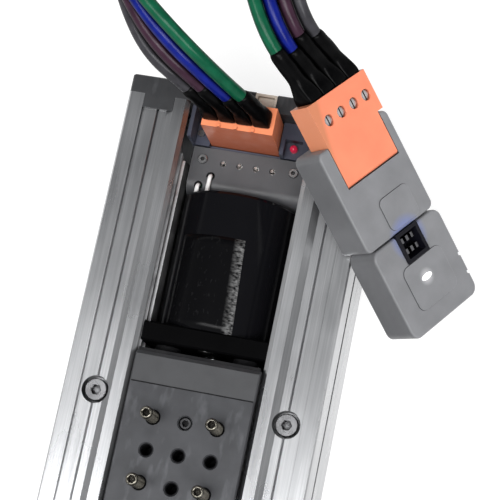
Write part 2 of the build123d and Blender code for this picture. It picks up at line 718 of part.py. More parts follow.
def carriage_block():
    """Steel runner with the ball grooves, their return bores and the bore of the nut."""
    outline = [
        (0, CARRIAGE_LOW),
        (CARRIAGE_HALF - CARRIAGE_BEVEL, CARRIAGE_LOW),
        (CARRIAGE_HALF, CARRIAGE_LOW + CARRIAGE_BEVEL),
        (CARRIAGE_HALF, PLATE_LOW),
        (0, PLATE_LOW),
    ]
    block = along_y(both_sides(outline), CARRIAGE_FROM, CARRIAGE_TO)
    block -= rod_y(0, AXIS_Z, NUT_RADIUS + FIT, CARRIAGE_FROM, CARRIAGE_TO)
    for side in SIDES:
        block -= rod_y(side * BALL_ROW_X, GUIDE_Z, BALL_RADIUS + FIT, CARRIAGE_FROM, CARRIAGE_TO)
        block -= rod_y(side * RETURN_X, GUIDE_Z, RETURN_RADIUS, CARRIAGE_FROM, CARRIAGE_TO)
        for y_from, y_to in ((CARRIAGE_FROM, CARRIAGE_FROM + M25_THREAD), (CARRIAGE_TO - M25_THREAD, CARRIAGE_TO)):
            block -= rod_y(side * CAP_SCREW_X, CAP_SCREW_Z, M25_SHANK + FIT, y_from, y_to)
    for x, z in nut_screw_places():
        block -= rod_y(x, z, M25_SHANK + FIT, CARRIAGE_FROM, CARRIAGE_FROM + M25_THREAD)
    for x, y in grid_places():
        block -= rod_z(x, y, GRID_HOLE, PLATE_TOP - GRID_DEPTH, PLATE_LOW)
    return block


def guide_balls():
    """One loaded row of balls on each side."""
    first = CARRIAGE_Y - BALL_PITCH * (BALLS_PER_ROW - 1) / 2
    rows = [(side * BALL_ROW_X, first + BALL_PITCH * i) for side in SIDES for i in range(BALLS_PER_ROW)]
    return group(Pos(x, y, GUIDE_Z) * Sphere(BALL_RADIUS) for x, y in rows)


def cap_outline():
    """Outline of the end caps, which follow the block and the plate above it."""
    return both_sides([
        (0, END_CAP_LOW),
        (CARRIAGE_HALF - CARRIAGE_BEVEL, END_CAP_LOW),
        (CARRIAGE_HALF, END_CAP_LOW + CARRIAGE_BEVEL),
        (CARRIAGE_HALF, PLATE_LOW),
        (PLATE_HALF, PLATE_LOW),
        (PLATE_HALF, END_CAP_TOP - PLATE_EDGE),
        (PLATE_HALF - PLATE_EDGE, END_CAP_TOP),
        (0, END_CAP_TOP),
    ])


def end_cap(direction, bore):
    """Moulded cap that turns the balls round at one end of the block."""
    inner = CARRIAGE_Y + direction * CARRIAGE_LENGTH / 2
    outer = inner + direction * END_CAP_LENGTH
    y_from, y_to = sorted((inner, outer))
    cap = along_y(cap_outline(), y_from, y_to)
    top_edge = cap.edges().filter_by(Axis.X).group_by(Axis.Z)[-1].sort_by(Axis.Y)
    cap = chamfer(top_edge[-1 if direction > 0 else 0], END_CAP_EDGE)
    cap -= rod_y(0, AXIS_Z, bore, y_from, y_to)
    seat_from, seat_to = sorted((outer, outer - direction * END_CAP_SEAT))
    for side in SIDES:
        cap -= rod_y(side * CAP_SCREW_X, CAP_SCREW_Z, M25_HEAD + GAP, seat_from, seat_to)
        cap -= rod_y(side * CAP_SCREW_X, CAP_SCREW_Z, M25_SHANK + FIT, y_from, y_to)
    return cap


def wiper(direction, bore):
    """Rubber lip plate on the outer face of an end cap."""
    inner = CARRIAGE_Y + direction * (CARRIAGE_LENGTH / 2 + END_CAP_LENGTH)
    y_from, y_to = sorted((inner, inner + direction * WIPER_THICK))
    top = END_CAP_TOP - END_CAP_EDGE - WIPER_INSET
    outline = both_sides([
        (0, END_CAP_LOW + WIPER_INSET),
        (CARRIAGE_HALF - CARRIAGE_BEVEL, END_CAP_LOW + WIPER_INSET),
        (CARRIAGE_HALF, END_CAP_LOW + CARRIAGE_BEVEL + WIPER_INSET),
        (CARRIAGE_HALF, top),
        (0, top),
    ])
    plate = along_y(outline, y_from, y_to)
    for side in SIDES:
        plate += rod_y(side * BALL_ROW_X, GUIDE_Z, WIPER_LIP, y_from, y_to)
        plate -= rod_y(side * CAP_SCREW_X, CAP_SCREW_Z, M25_HEAD + GAP, y_from, y_to)
    return plate - rod_y(0, AXIS_Z, bore, y_from, y_to)


def end_cap_screws():
    screws = []
    for direction in SIDES:
        seat = CARRIAGE_Y + direction * (CARRIAGE_LENGTH / 2 + END_CAP_LENGTH - END_CAP_SEAT)
        for side in SIDES:
            place = Pos(side * CAP_SCREW_X, seat, CAP_SCREW_Z) * Rot(-90 * direction, 0, 0)
            screws.append(place * m25_screw(END_CAP_LENGTH - END_CAP_SEAT + CAP_SCREW_REACH))
    return group(screws)


def nut_screw_places():
    angles = [math.radians(45 + 90 * step) for step in range(4)]
    return [(NUT_SCREW_CIRCLE * math.cos(a), AXIS_Z + NUT_SCREW_CIRCLE * math.sin(a)) for a in angles]


def screw_nut():
    """Flanged nut on the rear face of the block."""
    nut = tube_y(0, AXIS_Z, NUT_RADIUS, SCREW_RADIUS + FIT, CARRIAGE_FROM - NUT_FLANGE,
                 CARRIAGE_FROM + NUT_LENGTH - NUT_FLANGE)
    nut += tube_y(0, AXIS_Z, NUT_FLANGE_RADIUS, SCREW_RADIUS + FIT, CARRIAGE_FROM - NUT_FLANGE, CARRIAGE_FROM)
    for x, z in nut_screw_places():
        nut -= rod_y(x, z, M25_SHANK + FIT, CARRIAGE_FROM - NUT_FLANGE, CARRIAGE_FROM)
    return nut


def nut_screws():
    seat = CARRIAGE_FROM - NUT_FLANGE
    turned = [Pos(x, seat, z) * Rot(90, 0, 0) for x, z in nut_screw_places()]
    return group(place * m25_screw(NUT_FLANGE + NUT_SCREW_REACH) for place in turned)


def carriage_studs():
    """Threaded studs in the corner holes of the grid, a little thinner inside the plate."""
    studs = []
    for x, y in stud_places():
        stud = rod_z(x, y, STUD_RADIUS, PLATE_TOP, STUD_TOP)
        stud = chamfer(stud.edges().group_by(Axis.Z)[-1], STUD_CHAMFER)
        studs.append(stud + rod_z(x, y, STUD_CORE, PLATE_TOP - GRID_DEPTH, PLATE_TOP))
    return group(studs)


def set_screw():
    """Set screw in the middle hole of the row beside the motor."""
    y = CARRIAGE_Y + GRID_PITCH
    screw = rod_z(0, y, STUD_RADIUS, SET_SCREW_TOP - SET_SCREW_LENGTH, SET_SCREW_TOP)
    socket = Pos(0, y, SET_SCREW_TOP - SET_SCREW_SOCKET) * hexagon(SET_SCREW_SOCKET, SET_SCREW_SOCKET)
    return chamfer(screw.edges().group_by(Axis.Z)[-1], SET_SCREW_CHAMFER) - socket


def pin_places():
    first = -PIN_PITCH * (PIN_COUNT - 1) / 2
    return [first + PIN_PITCH * i for i in range(PIN_COUNT)]


def connector_bracket():
    """Bent sheet: a foot on the floor, a leg and a shelf over the board."""
    outer = SHEET_BEND + SHEET
    profile = [
        (SHEET_FROM, FLOOR), (FOOT_TO, FLOOR), (FOOT_TO, FLOOR + SHEET),
        (SHEET_FROM + SHEET, FLOOR + SHEET), (SHEET_FROM + SHEET, SHEET_LOW),
        (SHEET_TO, SHEET_LOW), (SHEET_TO, SHEET_TOP), (SHEET_FROM, SHEET_TOP),
    ]
    face = Plane.YZ * Polygon(*profile, align=None)
    sheet = extrude(face, amount=SHEET_HALF, both=True)
    sheet = fillet(edge_near(sheet, SHEET_FROM, SHEET_TOP), outer)
    sheet = fillet(edge_near(sheet, SHEET_FROM + SHEET, SHEET_LOW), SHEET_BEND)
    sheet = fillet(edge_near(sheet, SHEET_FROM + SHEET, FLOOR + SHEET), FOOT_BEND)
    for x in pin_places():
        sheet -= rod_z(x, PIN_Y, PIN_HOLE, SHEET_LOW, SHEET_TOP)
    for x, reach in LEAD_REACH.items():
        sheet -= rod_z(x, REAR_CAP_TO + reach, LEAD_HOLE, SHEET_LOW - SHEET_BEND, SHEET_TOP)
    for side in SIDES:
        sheet -= rod_z(side * POST_X, POST_Y, M2_SHANK + FIT, SHEET_LOW, SHEET_TOP)
        sheet -= rod_z(side * M3_BOLT_X, FOOT_SCREW_Y, M25_SHANK + FIT, FLOOR, FLOOR + SHEET)
    return sheet


def edge_near(solid, y, z):
    """Edge along X that passes the given point of the section."""
    return solid.edges().filter_by(Axis.X).sort_by(lambda edge: (edge.center() - Vector(0, y, z)).length)[0]


def bracket_screws():
    """Two screws into the posts of the board and two through the foot."""
    top = [Pos(side * POST_X, POST_Y, SHEET_TOP) * m2_screw(M2_LENGTH) for side in SIDES]
    seat = RELIEF_DEPTH + M25_HEAD_HEIGHT
    length = FLOOR + SHEET - seat
    foot = [Pos(side * M3_BOLT_X, FOOT_SCREW_Y, seat) * Rot(180, 0, 0) * m25_screw(length) for side in SIDES]
    return group(top + foot)


def pin_header():
    """Insulator under the shelf with four pins that stand up through it."""
    half = PIN_PITCH * PIN_COUNT / 2
    y_range = (PIN_Y - PIN_BLOCK_WIDTH / 2, PIN_Y + PIN_BLOCK_WIDTH / 2)
    header = box((-half, half), y_range, (SHEET_LOW - PIN_BLOCK, SHEET_LOW))
    for x in pin_places():
        header += rod_z(x, PIN_Y, PIN_RADIUS, BOARD_TOP, PIN_TOP)
    return header


def controller_board():
    board = box((-BOARD_HALF, BOARD_HALF), (BOARD_FROM, BOARD_TO), (BOARD_LOW, BOARD_TOP))
    for side in SIDES:
        for y in (POST_Y, SPACER_Y):
            board -= rod_z(side * POST_X, y, M2_SHANK + FIT, BOARD_LOW, BOARD_TOP)
    return board


def board_posts():
    """Spacers under the board and the two posts that carry the shelf."""
    posts = []
    for side in SIDES:
        x = side * POST_X
        for y in (POST_Y, SPACER_Y):
            posts.append(rod_z(x, y, POST_RADIUS, FLOOR, BOARD_LOW))
        post = rod_z(x, POST_Y, POST_RADIUS, BOARD_TOP, SHEET_LOW)
        posts.append(post - rod_z(x, POST_Y, M2_SHANK + FIT, SHEET_LOW - POST_BORE, SHEET_LOW))
    return group(posts)


def board_components():
    """Driver chip and capacitors on the free part of the board."""
    parts = [Pos(0, PIN_Y - CHIP_FROM_PINS, BOARD_TOP + CHIP[2] / 2) * Box(*CHIP)]
    for side in SIDES:
        y = PIN_Y + CAPACITOR_FROM_PINS
        parts.append(rod_z(side * CAPACITOR_X, y, CAPACITOR_RADIUS, BOARD_TOP, BOARD_TOP + CAPACITOR_HEIGHT))
    return group(parts)


def header_socket():
    """Board header that the plug of the module stands on."""
    x_from, x_to = module_plug_x()
    return box((x_from + HEADER_INSET, x_to - HEADER_INSET), module_plug_y(), (BOARD_TOP, HEADER_TOP))


def module_plug_x():
    """Span of the plug in the module along X."""
    low, high = MODULE_PLUG_SPAN
    return MODULE_PLUG_POLE[0] - high, MODULE_PLUG_POLE[0] - low


def module_plug_y():
    return MODULE_PLUG_POLE[1], MODULE_PLUG_POLE[1] + PLUG_THICK


def connector_housing():
    """Moulded frame round the plug, with the window of the lamp."""
    plug_from, plug_to = module_plug_x()
    pocket_x = (plug_from - POCKET_CLEAR, plug_to + POCKET_CLEAR)
    y_range = (HOUSING_FROM, HOUSING_TO)
    pocket_y = (module_plug_y()[0] - POCKET_CLEAR, module_plug_y()[1] + POCKET_CLEAR)
    housing = box((-HOUSING_HALF, pocket_x[1]), y_range, (BOARD_TOP, HOUSING_LEFT_TOP))
    housing += box((pocket_x[1], HOUSING_HALF), y_range, (BOARD_TOP, HOUSING_RIGHT_TOP))
    housing += box((-HOUSING_HALF, LINER_THICK - HOUSING_HALF), y_range, (BOARD_TOP, LINER_TOP))
    housing -= box(pocket_x, pocket_y, (BOARD_TOP, LINER_TOP))
    housing -= box(pocket_x, (HOUSING_FROM, pocket_y[0]), (HOUSING_FRONT_TOP, LINER_TOP))
    window_z = (HOUSING_RIGHT_TOP - LED_WINDOW_DEPTH, HOUSING_RIGHT_TOP)
    return housing - box(LED_WINDOW, (HOUSING_FROM, LED_WINDOW_TO), window_z)


def status_led():
    """Round lamp on the floor of its window."""
    low = HOUSING_RIGHT_TOP - LED_WINDOW_DEPTH
    y = (HOUSING_FROM + LED_WINDOW_TO + LED_RADIUS) / 2
    lamp = rod_z(LED_X, y, LED_RADIUS, low, low + LED_RADIUS)
    return lamp + Pos(LED_X, y, low + LED_RADIUS) * Sphere(LED_RADIUS)


def housing_screws():
    """Small screws in the left part of the housing."""
    head = Cylinder(HOUSING_SCREW_HEAD, HOUSING_SCREW_HEIGHT)
    z = HOUSING_LEFT_TOP + HOUSING_SCREW_HEIGHT / 2
    return group(Pos(HOUSING_SCREW_X, y, z) * head for y in HOUSING_SCREW_Y)


def sensor_socket():
    """Small open socket in the notch of the end plate."""
    y_to = PROFILE_END + SOCKET_DEPTH
    shell = box(SOCKET_X, (PROFILE_END, y_to), SOCKET_Z)
    inner_x = (SOCKET_X[0] + SOCKET_WALL, SOCKET_X[1] - SOCKET_WALL)
    inner_y = (PROFILE_END + SOCKET_WALL, y_to - SOCKET_WALL)
    shell -= box(inner_x, inner_y, (SOCKET_Z[0] + SOCKET_BASE, SOCKET_Z[1]))
    pin_height = SOCKET_Z[1] - SOCKET_Z[0] - 2 * SOCKET_BASE
    for x in (inner_x[0] + SOCKET_PIN_INSET, inner_x[1] - SOCKET_PIN_INSET):
        place = Pos(x, (inner_y[0] + inner_y[1]) / 2, (SOCKET_Z[0] + SOCKET_Z[1]) / 2)
        shell += place * Box(SOCKET_PIN, SOCKET_PIN, pin_height)
    return shell


def round_path(points):
    """Runs joined by the largest tangent arcs that the rule of the cord allows."""
    points = [Vector(*point) for point in points]
    edges = []
    radii = []
    start = points[0]
    for before, corner, after in zip(points, points[1:], points[2:]):
        run_in = corner - before
        run_out = after - corner
        reach = 0.45 * min(run_in.length, run_out.length)
        turn = math.radians(run_in.get_angle(run_out))
        radii.append(reach / math.tan(turn / 2))
        arc_from = corner - run_in.normalized() * reach
        arc_to = corner + run_out.normalized() * reach
        edges.append(Edge.make_line(start, arc_from))
        edges.append(Edge.make_tangent_arc(arc_from, run_in, arc_to))
        start = arc_to
    edges.append(Edge.make_line(start, points[-1]))
    return edges, radii


def tube_along(edges, outer, inner=0.0):
    """Round tube along a list of joined edges."""
    path = Wire(edges)
    section = Plane(origin=path.position_at(0), z_dir=path.tangent_at(0)) * Circle(outer)
    if inner:
        section -= Plane(origin=path.position_at(0), z_dir=path.tangent_at(0)) * Circle(inner)
    return sweep(sections=section, path=path)


def harness_points(index):
    """Route of one wire of the harness."""
    step = index - (len(WIRE_NAMES) - 1) / 2
    return [tuple(m + step * s for m, s in zip(middle, side)) for middle, side in HARNESS]


def wire(index):
    """One wire, with a check of its volume against its section times its length."""
    edges, radii = round_path(harness_points(index))
    length = sum(edge.length for edge in edges)
    solid = tube_along(edges, WIRE_RADIUS)
    ratio = solid.volume / (math.pi * WIRE_RADIUS ** 2 * length)
    smallest = min(radii)
    print(WIRE_NAMES[index], "length", round(length, 1), "smallest radius", round(smallest, 1), "ratio", round(ratio, 4))
    print("radii", [round(radius, 1) for radius in radii])
    return solid


def sleeves(direction, runs):
    """Shrink sleeves over the wires from the top of a plug, over the first runs of the route."""
    tubes = []
    for index in range(len(WIRE_NAMES)):
        edges = round_path(harness_points(index)[::direction])[0]
        inside = PLUG_HOLE_DEPTH + FIT
        straight = Edge.make_line(edges[0].position_at(inside / edges[0].length), edges[0].position_at(1))
        tubes.append(tube_along([straight, *edges[1:runs]], SLEEVE_RADIUS, WIRE_RADIUS + FIT))
    return group(tubes)


def pole_places():
    first = -POLE_PITCH * (POLES - 1) / 2
    return [first + POLE_PITCH * i for i in range(POLES)]


def plug_body(span, lug):
    """Screw terminal plug: x along the poles, y towards the wires, z out of the screw face."""
    body = box(span, (-PLUG_BELOW, PLUG_ABOVE), (0, PLUG_THICK))
    body = chamfer(body.edges().group_by(Axis.Y)[0].filter_by(Axis.X), PLUG_EDGE)
    if lug:
        body += box((span[1], span[1] + lug), (-LUG_BELOW, PLUG_ABOVE), (0, PLUG_THICK))
    for x in pole_places():
        body -= rod_y(x, PLUG_WIRE_AXIS, PLUG_HOLE, PLUG_ABOVE - PLUG_HOLE_DEPTH, PLUG_ABOVE)
        body -= rod_z(x, 0, PLUG_SCREW_BORE, PLUG_WIRE_AXIS, PLUG_THICK)
    for x in pole_places()[:-1]:
        tooth_x = x + POLE_PITCH / 2
        body += box((tooth_x - TOOTH / 2, tooth_x + TOOTH / 2), (PLUG_ABOVE, PLUG_ABOVE + TOOTH), (0, TOOTH))
    return body


def plug_screws():
    """Slotted clamping screws of a plug."""
    screws = []
    for x in pole_places():
        screw = rod_z(x, 0, PLUG_SCREW, PLUG_SCREW_LOW, PLUG_SCREW_TOP)
        slot = Pos(x, 0, PLUG_SCREW_TOP - PLUG_SLOT_DEPTH / 2) * Box(PLUG_SLOT, 2 * PLUG_SCREW, PLUG_SLOT_DEPTH)
        screws.append(screw - slot)
    return group(screws)


def module_plug_plane():
    """The plug in the module stands upright, with its screws towards the end plate."""
    return Plane(origin=MODULE_PLUG_POLE, x_dir=(-1, 0, 0), z_dir=(0, 1, 0))


def adapter_plane():
    """Back face of the adapter, which lies on the top edge of the right rail."""
    lean = math.radians(LEAN)
    turn = math.radians(TURN)
    normal = (math.sin(lean), 0, math.cos(lean))
    down = (math.cos(lean), 0, -math.sin(lean))
    across = (math.cos(turn) * down[0], math.sin(turn), math.cos(turn) * down[2])
    x, y = ADAPTER_CORNER
    z = HEIGHT + math.tan(lean) * (HALF_WIDTH - x) + GAP
    return Plane(origin=(x, y, z), x_dir=across, z_dir=normal)


def adapter_plug_plane():
    plane = adapter_plane()
    origin = plane.from_local_coords((ADAPTER_POLE, 0, ADAPTER_THICK - PLUG_THICK))
    return Plane(origin=origin, x_dir=plane.x_dir, z_dir=plane.z_dir)


def adapter_shell(span, start, end, corner):
    """Flat moulded box of the adapter with rounded corners and edges."""
    shell = box(span, (-end, -start), (0, ADAPTER_THICK))
    shell = fillet(shell.edges().filter_by(Axis.Z), corner)
    return fillet(shell.edges().group_by(Axis.Z)[-1], SHELL_EDGE)


def raised_pad(x_range, y_range, corner):
    pad = box(x_range, y_range, (ADAPTER_THICK - PAD_ROOT, ADAPTER_THICK + PAD_RAISE))
    return fillet(pad.edges().filter_by(Axis.Z), corner)


def adapter_upper_housing():
    """Upper half of the adapter, open at the top for its plug."""
    shell = adapter_shell(UPPER_SPAN, UPPER_FROM, UPPER_TO, UPPER_CORNER)
    plug_x = (ADAPTER_POLE + ADAPTER_PLUG_SPAN[0] - GAP, ADAPTER_POLE + ADAPTER_PLUG_SPAN[1] + GAP)
    notch_y = (-PLUG_BELOW - GAP, -UPPER_FROM + 1)
    shell += raised_pad(*UPPER_PAD, UPPER_PAD_CORNER)
    shell -= box(plug_x, notch_y, (ADAPTER_THICK - PLUG_THICK - GAP, ADAPTER_THICK + 1))
    return adapter_plane() * shell


def adapter_lower_housing():
    """Lower half of the adapter, with the pocket of its socket."""
    shell = adapter_shell(LOWER_SPAN, LOWER_FROM, LOWER_TO, LOWER_CORNER)
    shell += raised_pad(*LOWER_PAD, LOWER_PAD_CORNER)
    pocket_x = (SOCKET_SPAN[0] - FIT, SOCKET_SPAN[1] + FIT)
    shell -= box(pocket_x, (-SOCKET_TO - FIT, -LOWER_FROM), (SOCKET_LOW, ADAPTER_THICK + 1))
    for notch in NOTCHES:
        y_range = (-notch - NOTCH_WIDTH / 2, -notch + NOTCH_WIDTH / 2)
        shell -= box((LOWER_SPAN[1] - NOTCH_DEPTH, LOWER_SPAN[1]), y_range, (0, ADAPTER_THICK))
    return adapter_plane() * shell


def adapter_socket():
    """Black socket that joins the two halves, open to the front."""
    socket = box(SOCKET_SPAN, (-SOCKET_TO, -UPPER_TO), (SOCKET_LOW, SOCKET_TOP))
    inner_x = (SOCKET_SPAN[0] + SOCKET_RIM, SOCKET_SPAN[1] - SOCKET_RIM)
    inner_y = (-SOCKET_TO + SOCKET_RIM, -UPPER_TO - SOCKET_RIM)
    return adapter_plane() * (socket - box(inner_x, inner_y, (SOCKET_FLOOR, SOCKET_TOP)))


def adapter_contacts():
    """Contacts that stand on the floor of the socket in two rows."""
    middle_x = (SOCKET_SPAN[0] + SOCKET_SPAN[1]) / 2
    middle_y = -(SOCKET_TO + UPPER_TO) / 2
    top = SOCKET_TOP - CONTACT_BELOW_RIM
    contact = Box(*CONTACT, top - SOCKET_FLOOR)
    contacts = []
    for column in (-1, 0, 1):
        for row in SIDES:
            x = middle_x + column * CONTACT_PITCH[0]
            y = middle_y + row * CONTACT_PITCH[1] / 2
            contacts.append(adapter_plane() * (Pos(x, y, (SOCKET_FLOOR + top) / 2) * contact))
    return group(contacts)


def motor_leads():
    """Two short leads from the rear cap into the shelf."""
    leads = []
    z = SHEET_TOP + LEAD_RADIUS + FIT
    for x, reach in LEAD_REACH.items():
        y = REAR_CAP_TO + reach
        route = [(x, REAR_CAP_TO, z), (x, y - LEAD_SET, z), (x, y + LEAD_SET, z - LEAD_DIP)]
        leads.append(tube_along(round_path(route)[0], LEAD_RADIUS))
    return group(leads)


idle_block_y = (IDLE_INNER_FACE - PROFILE_END) / 2
motor_plate_y = MOTOR_BACK - MOUNT_PLATE / 2
parts = {
    "base_profile": base_profile(),
    "motor_end_plate": motor_end_plate(),
    "idle_end_plate": end_plate(-1),
    "end_plate_screws": end_plate_screws(),
    "rail_screws": rail_screws(),
    "guide_strip_left": guide_strip(-1),
    "guide_strip_right": guide_strip(1),
    "motor_mount_plate": motor_mount_plate(),
    "motor_mount_screws": floor_screws(motor_plate_y),
    "motor_face_screws": motor_face_screws(),
    "motor_shell": motor_shell(),
    "motor_rear_cap": motor_rear_cap(),
    "motor_leads": motor_leads(),
    "stator": stator(),
    "motor_bearings": motor_bearings(),
    "rotor": rotor(),
    "lead_screw": lead_screw(),
    "retaining_ring": retaining_ring(),
    "idle_bearing_block": idle_bearing_block(),
    "idle_bearing": idle_bearing(),
    "idle_block_screws": floor_screws(idle_block_y),
    "bumpers_motor_side": bumpers(MOUNT_FROM - BUMPER_THICK, MOUNT_FROM),
    "bumpers_idle_side": bumpers(IDLE_INNER_FACE, IDLE_INNER_FACE + BUMPER_THICK),
    "carriage_plate": carriage_plate(),
    "carriage_block": carriage_block(),
    "guide_balls": guide_balls(),
    "end_cap_front": end_cap(1, NUT_RADIUS),
    "end_cap_rear": end_cap(-1, NUT_FLANGE_RADIUS + 0.5),
    "wiper_front": wiper(1, NUT_RADIUS),
    "wiper_rear": wiper(-1, NUT_RADIUS),
    "end_cap_screws": end_cap_screws(),
    "screw_nut": screw_nut(),
    "nut_screws": nut_screws(),
    "carriage_studs": carriage_studs(),
    "set_screw": set_screw(),
    "connector_bracket": connector_bracket(),
    "bracket_screws": bracket_screws(),
    "pin_header": pin_header(),
    "controller_board": controller_board(),
    "board_posts": board_posts(),
    "board_components": board_components(),
    "header_socket": header_socket(),
    "connector_housing": connector_housing(),
    "housing_screws": housing_screws(),
    "status_led": status_led(),
    "sensor_socket": sensor_socket(),
    "plug_module_body": module_plug_plane() * plug_body(MODULE_PLUG_SPAN, 0),
    "plug_module_screws": group(module_plug_plane() * s for s in plug_screws().solids()),
    "sleeves_module": sleeves(1, MODULE_SLEEVE_RUNS),
    "sleeves_adapter": sleeves(-1, ADAPTER_SLEEVE_RUNS),
    "plug_adapter_body": adapter_plug_plane() * plug_body(ADAPTER_PLUG_SPAN, LUG_WIDTH),
    "plug_adapter_screws": group(adapter_plug_plane() * s for s in plug_screws().solids()),
    "adapter_upper_housing": adapter_upper_housing(),
    "adapter_lower_housing": adapter_lower_housing(),
    "adapter_socket": adapter_socket(),
    "adapter_contacts": adapter_contacts(),
}
for index, name in enumerate(WIRE_NAMES):
    parts["wire_" + name] = wire(index)

os.makedirs("parts", exist_ok=True)
for name, shape in parts.items():
    export_step(shape, f"parts/{name}.step")
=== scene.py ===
import json
import math

import bmesh
import bpy
from mathutils import Matrix, Vector


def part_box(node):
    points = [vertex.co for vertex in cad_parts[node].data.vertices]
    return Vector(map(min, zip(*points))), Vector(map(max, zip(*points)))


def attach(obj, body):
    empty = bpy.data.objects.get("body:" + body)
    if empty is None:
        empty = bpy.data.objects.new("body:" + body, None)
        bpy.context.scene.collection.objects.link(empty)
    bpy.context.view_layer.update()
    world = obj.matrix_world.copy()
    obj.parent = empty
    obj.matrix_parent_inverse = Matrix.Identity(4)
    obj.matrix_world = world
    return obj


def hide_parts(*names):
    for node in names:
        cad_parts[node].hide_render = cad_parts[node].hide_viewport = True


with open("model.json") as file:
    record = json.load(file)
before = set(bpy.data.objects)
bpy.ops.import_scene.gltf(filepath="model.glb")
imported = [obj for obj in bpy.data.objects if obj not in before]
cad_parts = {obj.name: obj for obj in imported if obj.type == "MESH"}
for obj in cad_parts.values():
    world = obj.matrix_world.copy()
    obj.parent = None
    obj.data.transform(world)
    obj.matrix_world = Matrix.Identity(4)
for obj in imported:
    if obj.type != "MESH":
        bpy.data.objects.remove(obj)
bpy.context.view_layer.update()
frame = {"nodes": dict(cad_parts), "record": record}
NODES = frame["nodes"]
for packed in bpy.data.materials:
    packed.name = "packed_" + packed.name

# Linear module with its wired adapter. Metres; X across, +Y towards the connectors, +Z up.
MM = 0.001

# Camera, solved from the edges of the module in the photograph
CAMERA_PLACE = (0.09589, -0.01044, 0.53468)
CAMERA_RIGHT = (0.971106, 0.199786, -0.130535)
CAMERA_UP = (-0.165528, 0.957888, 0.234630)
CAMERA_BACK = (0.171913, -0.206244, 0.963281)
CAMERA_LENS = 118.9
CAMERA_SENSOR = 36.0
CAMERA_REACH = (0.01, 50.0)

# Harness: the middle of its four wires and the step from one wire to the next
WIRE_NAMES = ("grey", "violet", "blue", "green")
WIRE_RADIUS = 0.0021
WIRE_STEPS = 12
WIRE_ROUNDNESS = 5
WIRE_LENGTHS = {"grey": 0.337, "violet": 0.351, "blue": 0.366, "green": 0.382}
HARNESS = (
    ((-0.0023, 0.1337, 0.0480), (0.0054, 0.0, 0.0)),
    ((-0.0023, 0.1337, 0.0600), (0.0054, 0.0, 0.0003)),
    ((-0.0106, 0.1364, 0.0730), (0.0046, 0.0002, 0.0016)),
    ((-0.0238, 0.1437, 0.0825), (0.0032, 0.0012, 0.0036)),
    ((-0.0362, 0.1563, 0.0865), (0.0011, 0.0010, 0.0045)),
    ((-0.0455, 0.1705, 0.0840), (-0.0004, 0.0006, 0.0046)),
    ((-0.0520, 0.1850, 0.0720), (-0.0013, 0.0022, 0.0038)),
    ((-0.0545, 0.1960, 0.0550), (-0.0007, 0.0038, 0.0024)),
    ((-0.0535, 0.2020, 0.0350), (0.0, 0.0045, 0.0009)),
    ((-0.0455, 0.2060, 0.0155), (0.0, 0.0046, 0.0002)),
    ((-0.0280, 0.2080, 0.0022), (0.0, 0.0046, 0.0)),
    ((-0.0110, 0.2080, 0.0022), (0.0, 0.0046, 0.0)),
    ((0.0025, 0.2080, 0.0155), (-0.0008, 0.0046, 0.0)),
    ((0.0065, 0.2070, 0.0350), (-0.0026, 0.0039, 0.0004)),
    ((0.0065, 0.2050, 0.0530), (-0.0041, 0.0024, 0.0004)),
    ((0.0045, 0.2005, 0.0700), (-0.0046, 0.0006, 0.0004)),
    ((0.0020, 0.1905, 0.0835), (-0.0042, -0.0008, 0.0004)),
    ((0.0022, 0.1770, 0.0895), (-0.0038, -0.0018, 0.0002)),
    ((0.0066, 0.1635, 0.0885), (-0.0034, -0.0025, 0.0005)),
    ((0.0138, 0.1510, 0.0825), (-0.00305, -0.0028, 0.0012)),
    ((0.02296, 0.14575, 0.07099), (-0.002735, -0.003962, 0.002446)),
    ((0.02876, 0.13855, 0.06581), (-0.002735, -0.003962, 0.002446)),
)

# Shrink sleeves on the wires at the two plugs
SLEEVE_RADIUS = 0.00265
SLEEVE_START = 0.00505
SLEEVE_ENDS = {"module": 0.022, "adapter": 0.0235}
SLEEVE_UNEVEN = 0.002
SLEEVE_UNEVEN_STEP = 2.1
SLEEVE_WAVE = 0.00006
SLEEVE_RIPPLES = (17, 5)
SLEEVE_SHRINK = 0.00055
SLEEVE_SHRUNK_SHARE = 0.14
SLEEVE_ROWS = 24
SLEEVE_AROUND = 28
BOOT_LENGTH = 0.008
BOOT_DEPTH = {"module": 1.0, "adapter": 1.5}
BOOT_SQUARENESS = 7

# Threads: steps round them, rows on each pitch, and the shares of crest and flank
THREAD_AROUND = 24
ROWS_PER_PITCH = 8
CREST_SHARE = 0.15
FLANK_SHARE = 0.65

# Carriage: its plate, the holes and studs of its grid, and the black strip that stands in for shade in the
# joint at its front end cap
PLATE_LOW, PLATE_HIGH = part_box("carriage_plate")
PLATE_Y = (PLATE_LOW[1] + PLATE_HIGH[1]) / 2
PLATE_TOP = PLATE_HIGH[2]
GRID_PITCH = 0.010
OPEN_HOLES = ((-1, 0), (0, 0), (1, 0), (0, -1))
STUD_PLACES = ((-1, -1), (-1, 1), (1, -1), (1, 1))
HOLE_RADIUS = 0.00198
HOLE_ROOT = 0.00162
HOLE_BOTTOM = PLATE_TOP - 0.0095
HOLE_MOUTH = 0.0006
HOLE_SKIN = 0.0001
HOLE_SINK = 0.00003
STUD_RADIUS = 0.00195
STUD_ROOT = 0.00160
STUD_CORE = 0.00185
STUD_LOW = PLATE_TOP - 0.0097
STUD_CHAMFER = 0.0005
STUD_SOCKET = 0.0011
STUD_SOCKET_DEPTH = 0.0016
M4_PITCH = 0.0007
SEAM_WIDE = 0.00034
SEAM_DEEP = 0.00045
SEAM_PROUD = 0.00004
SEAM_INSET = 0.0005

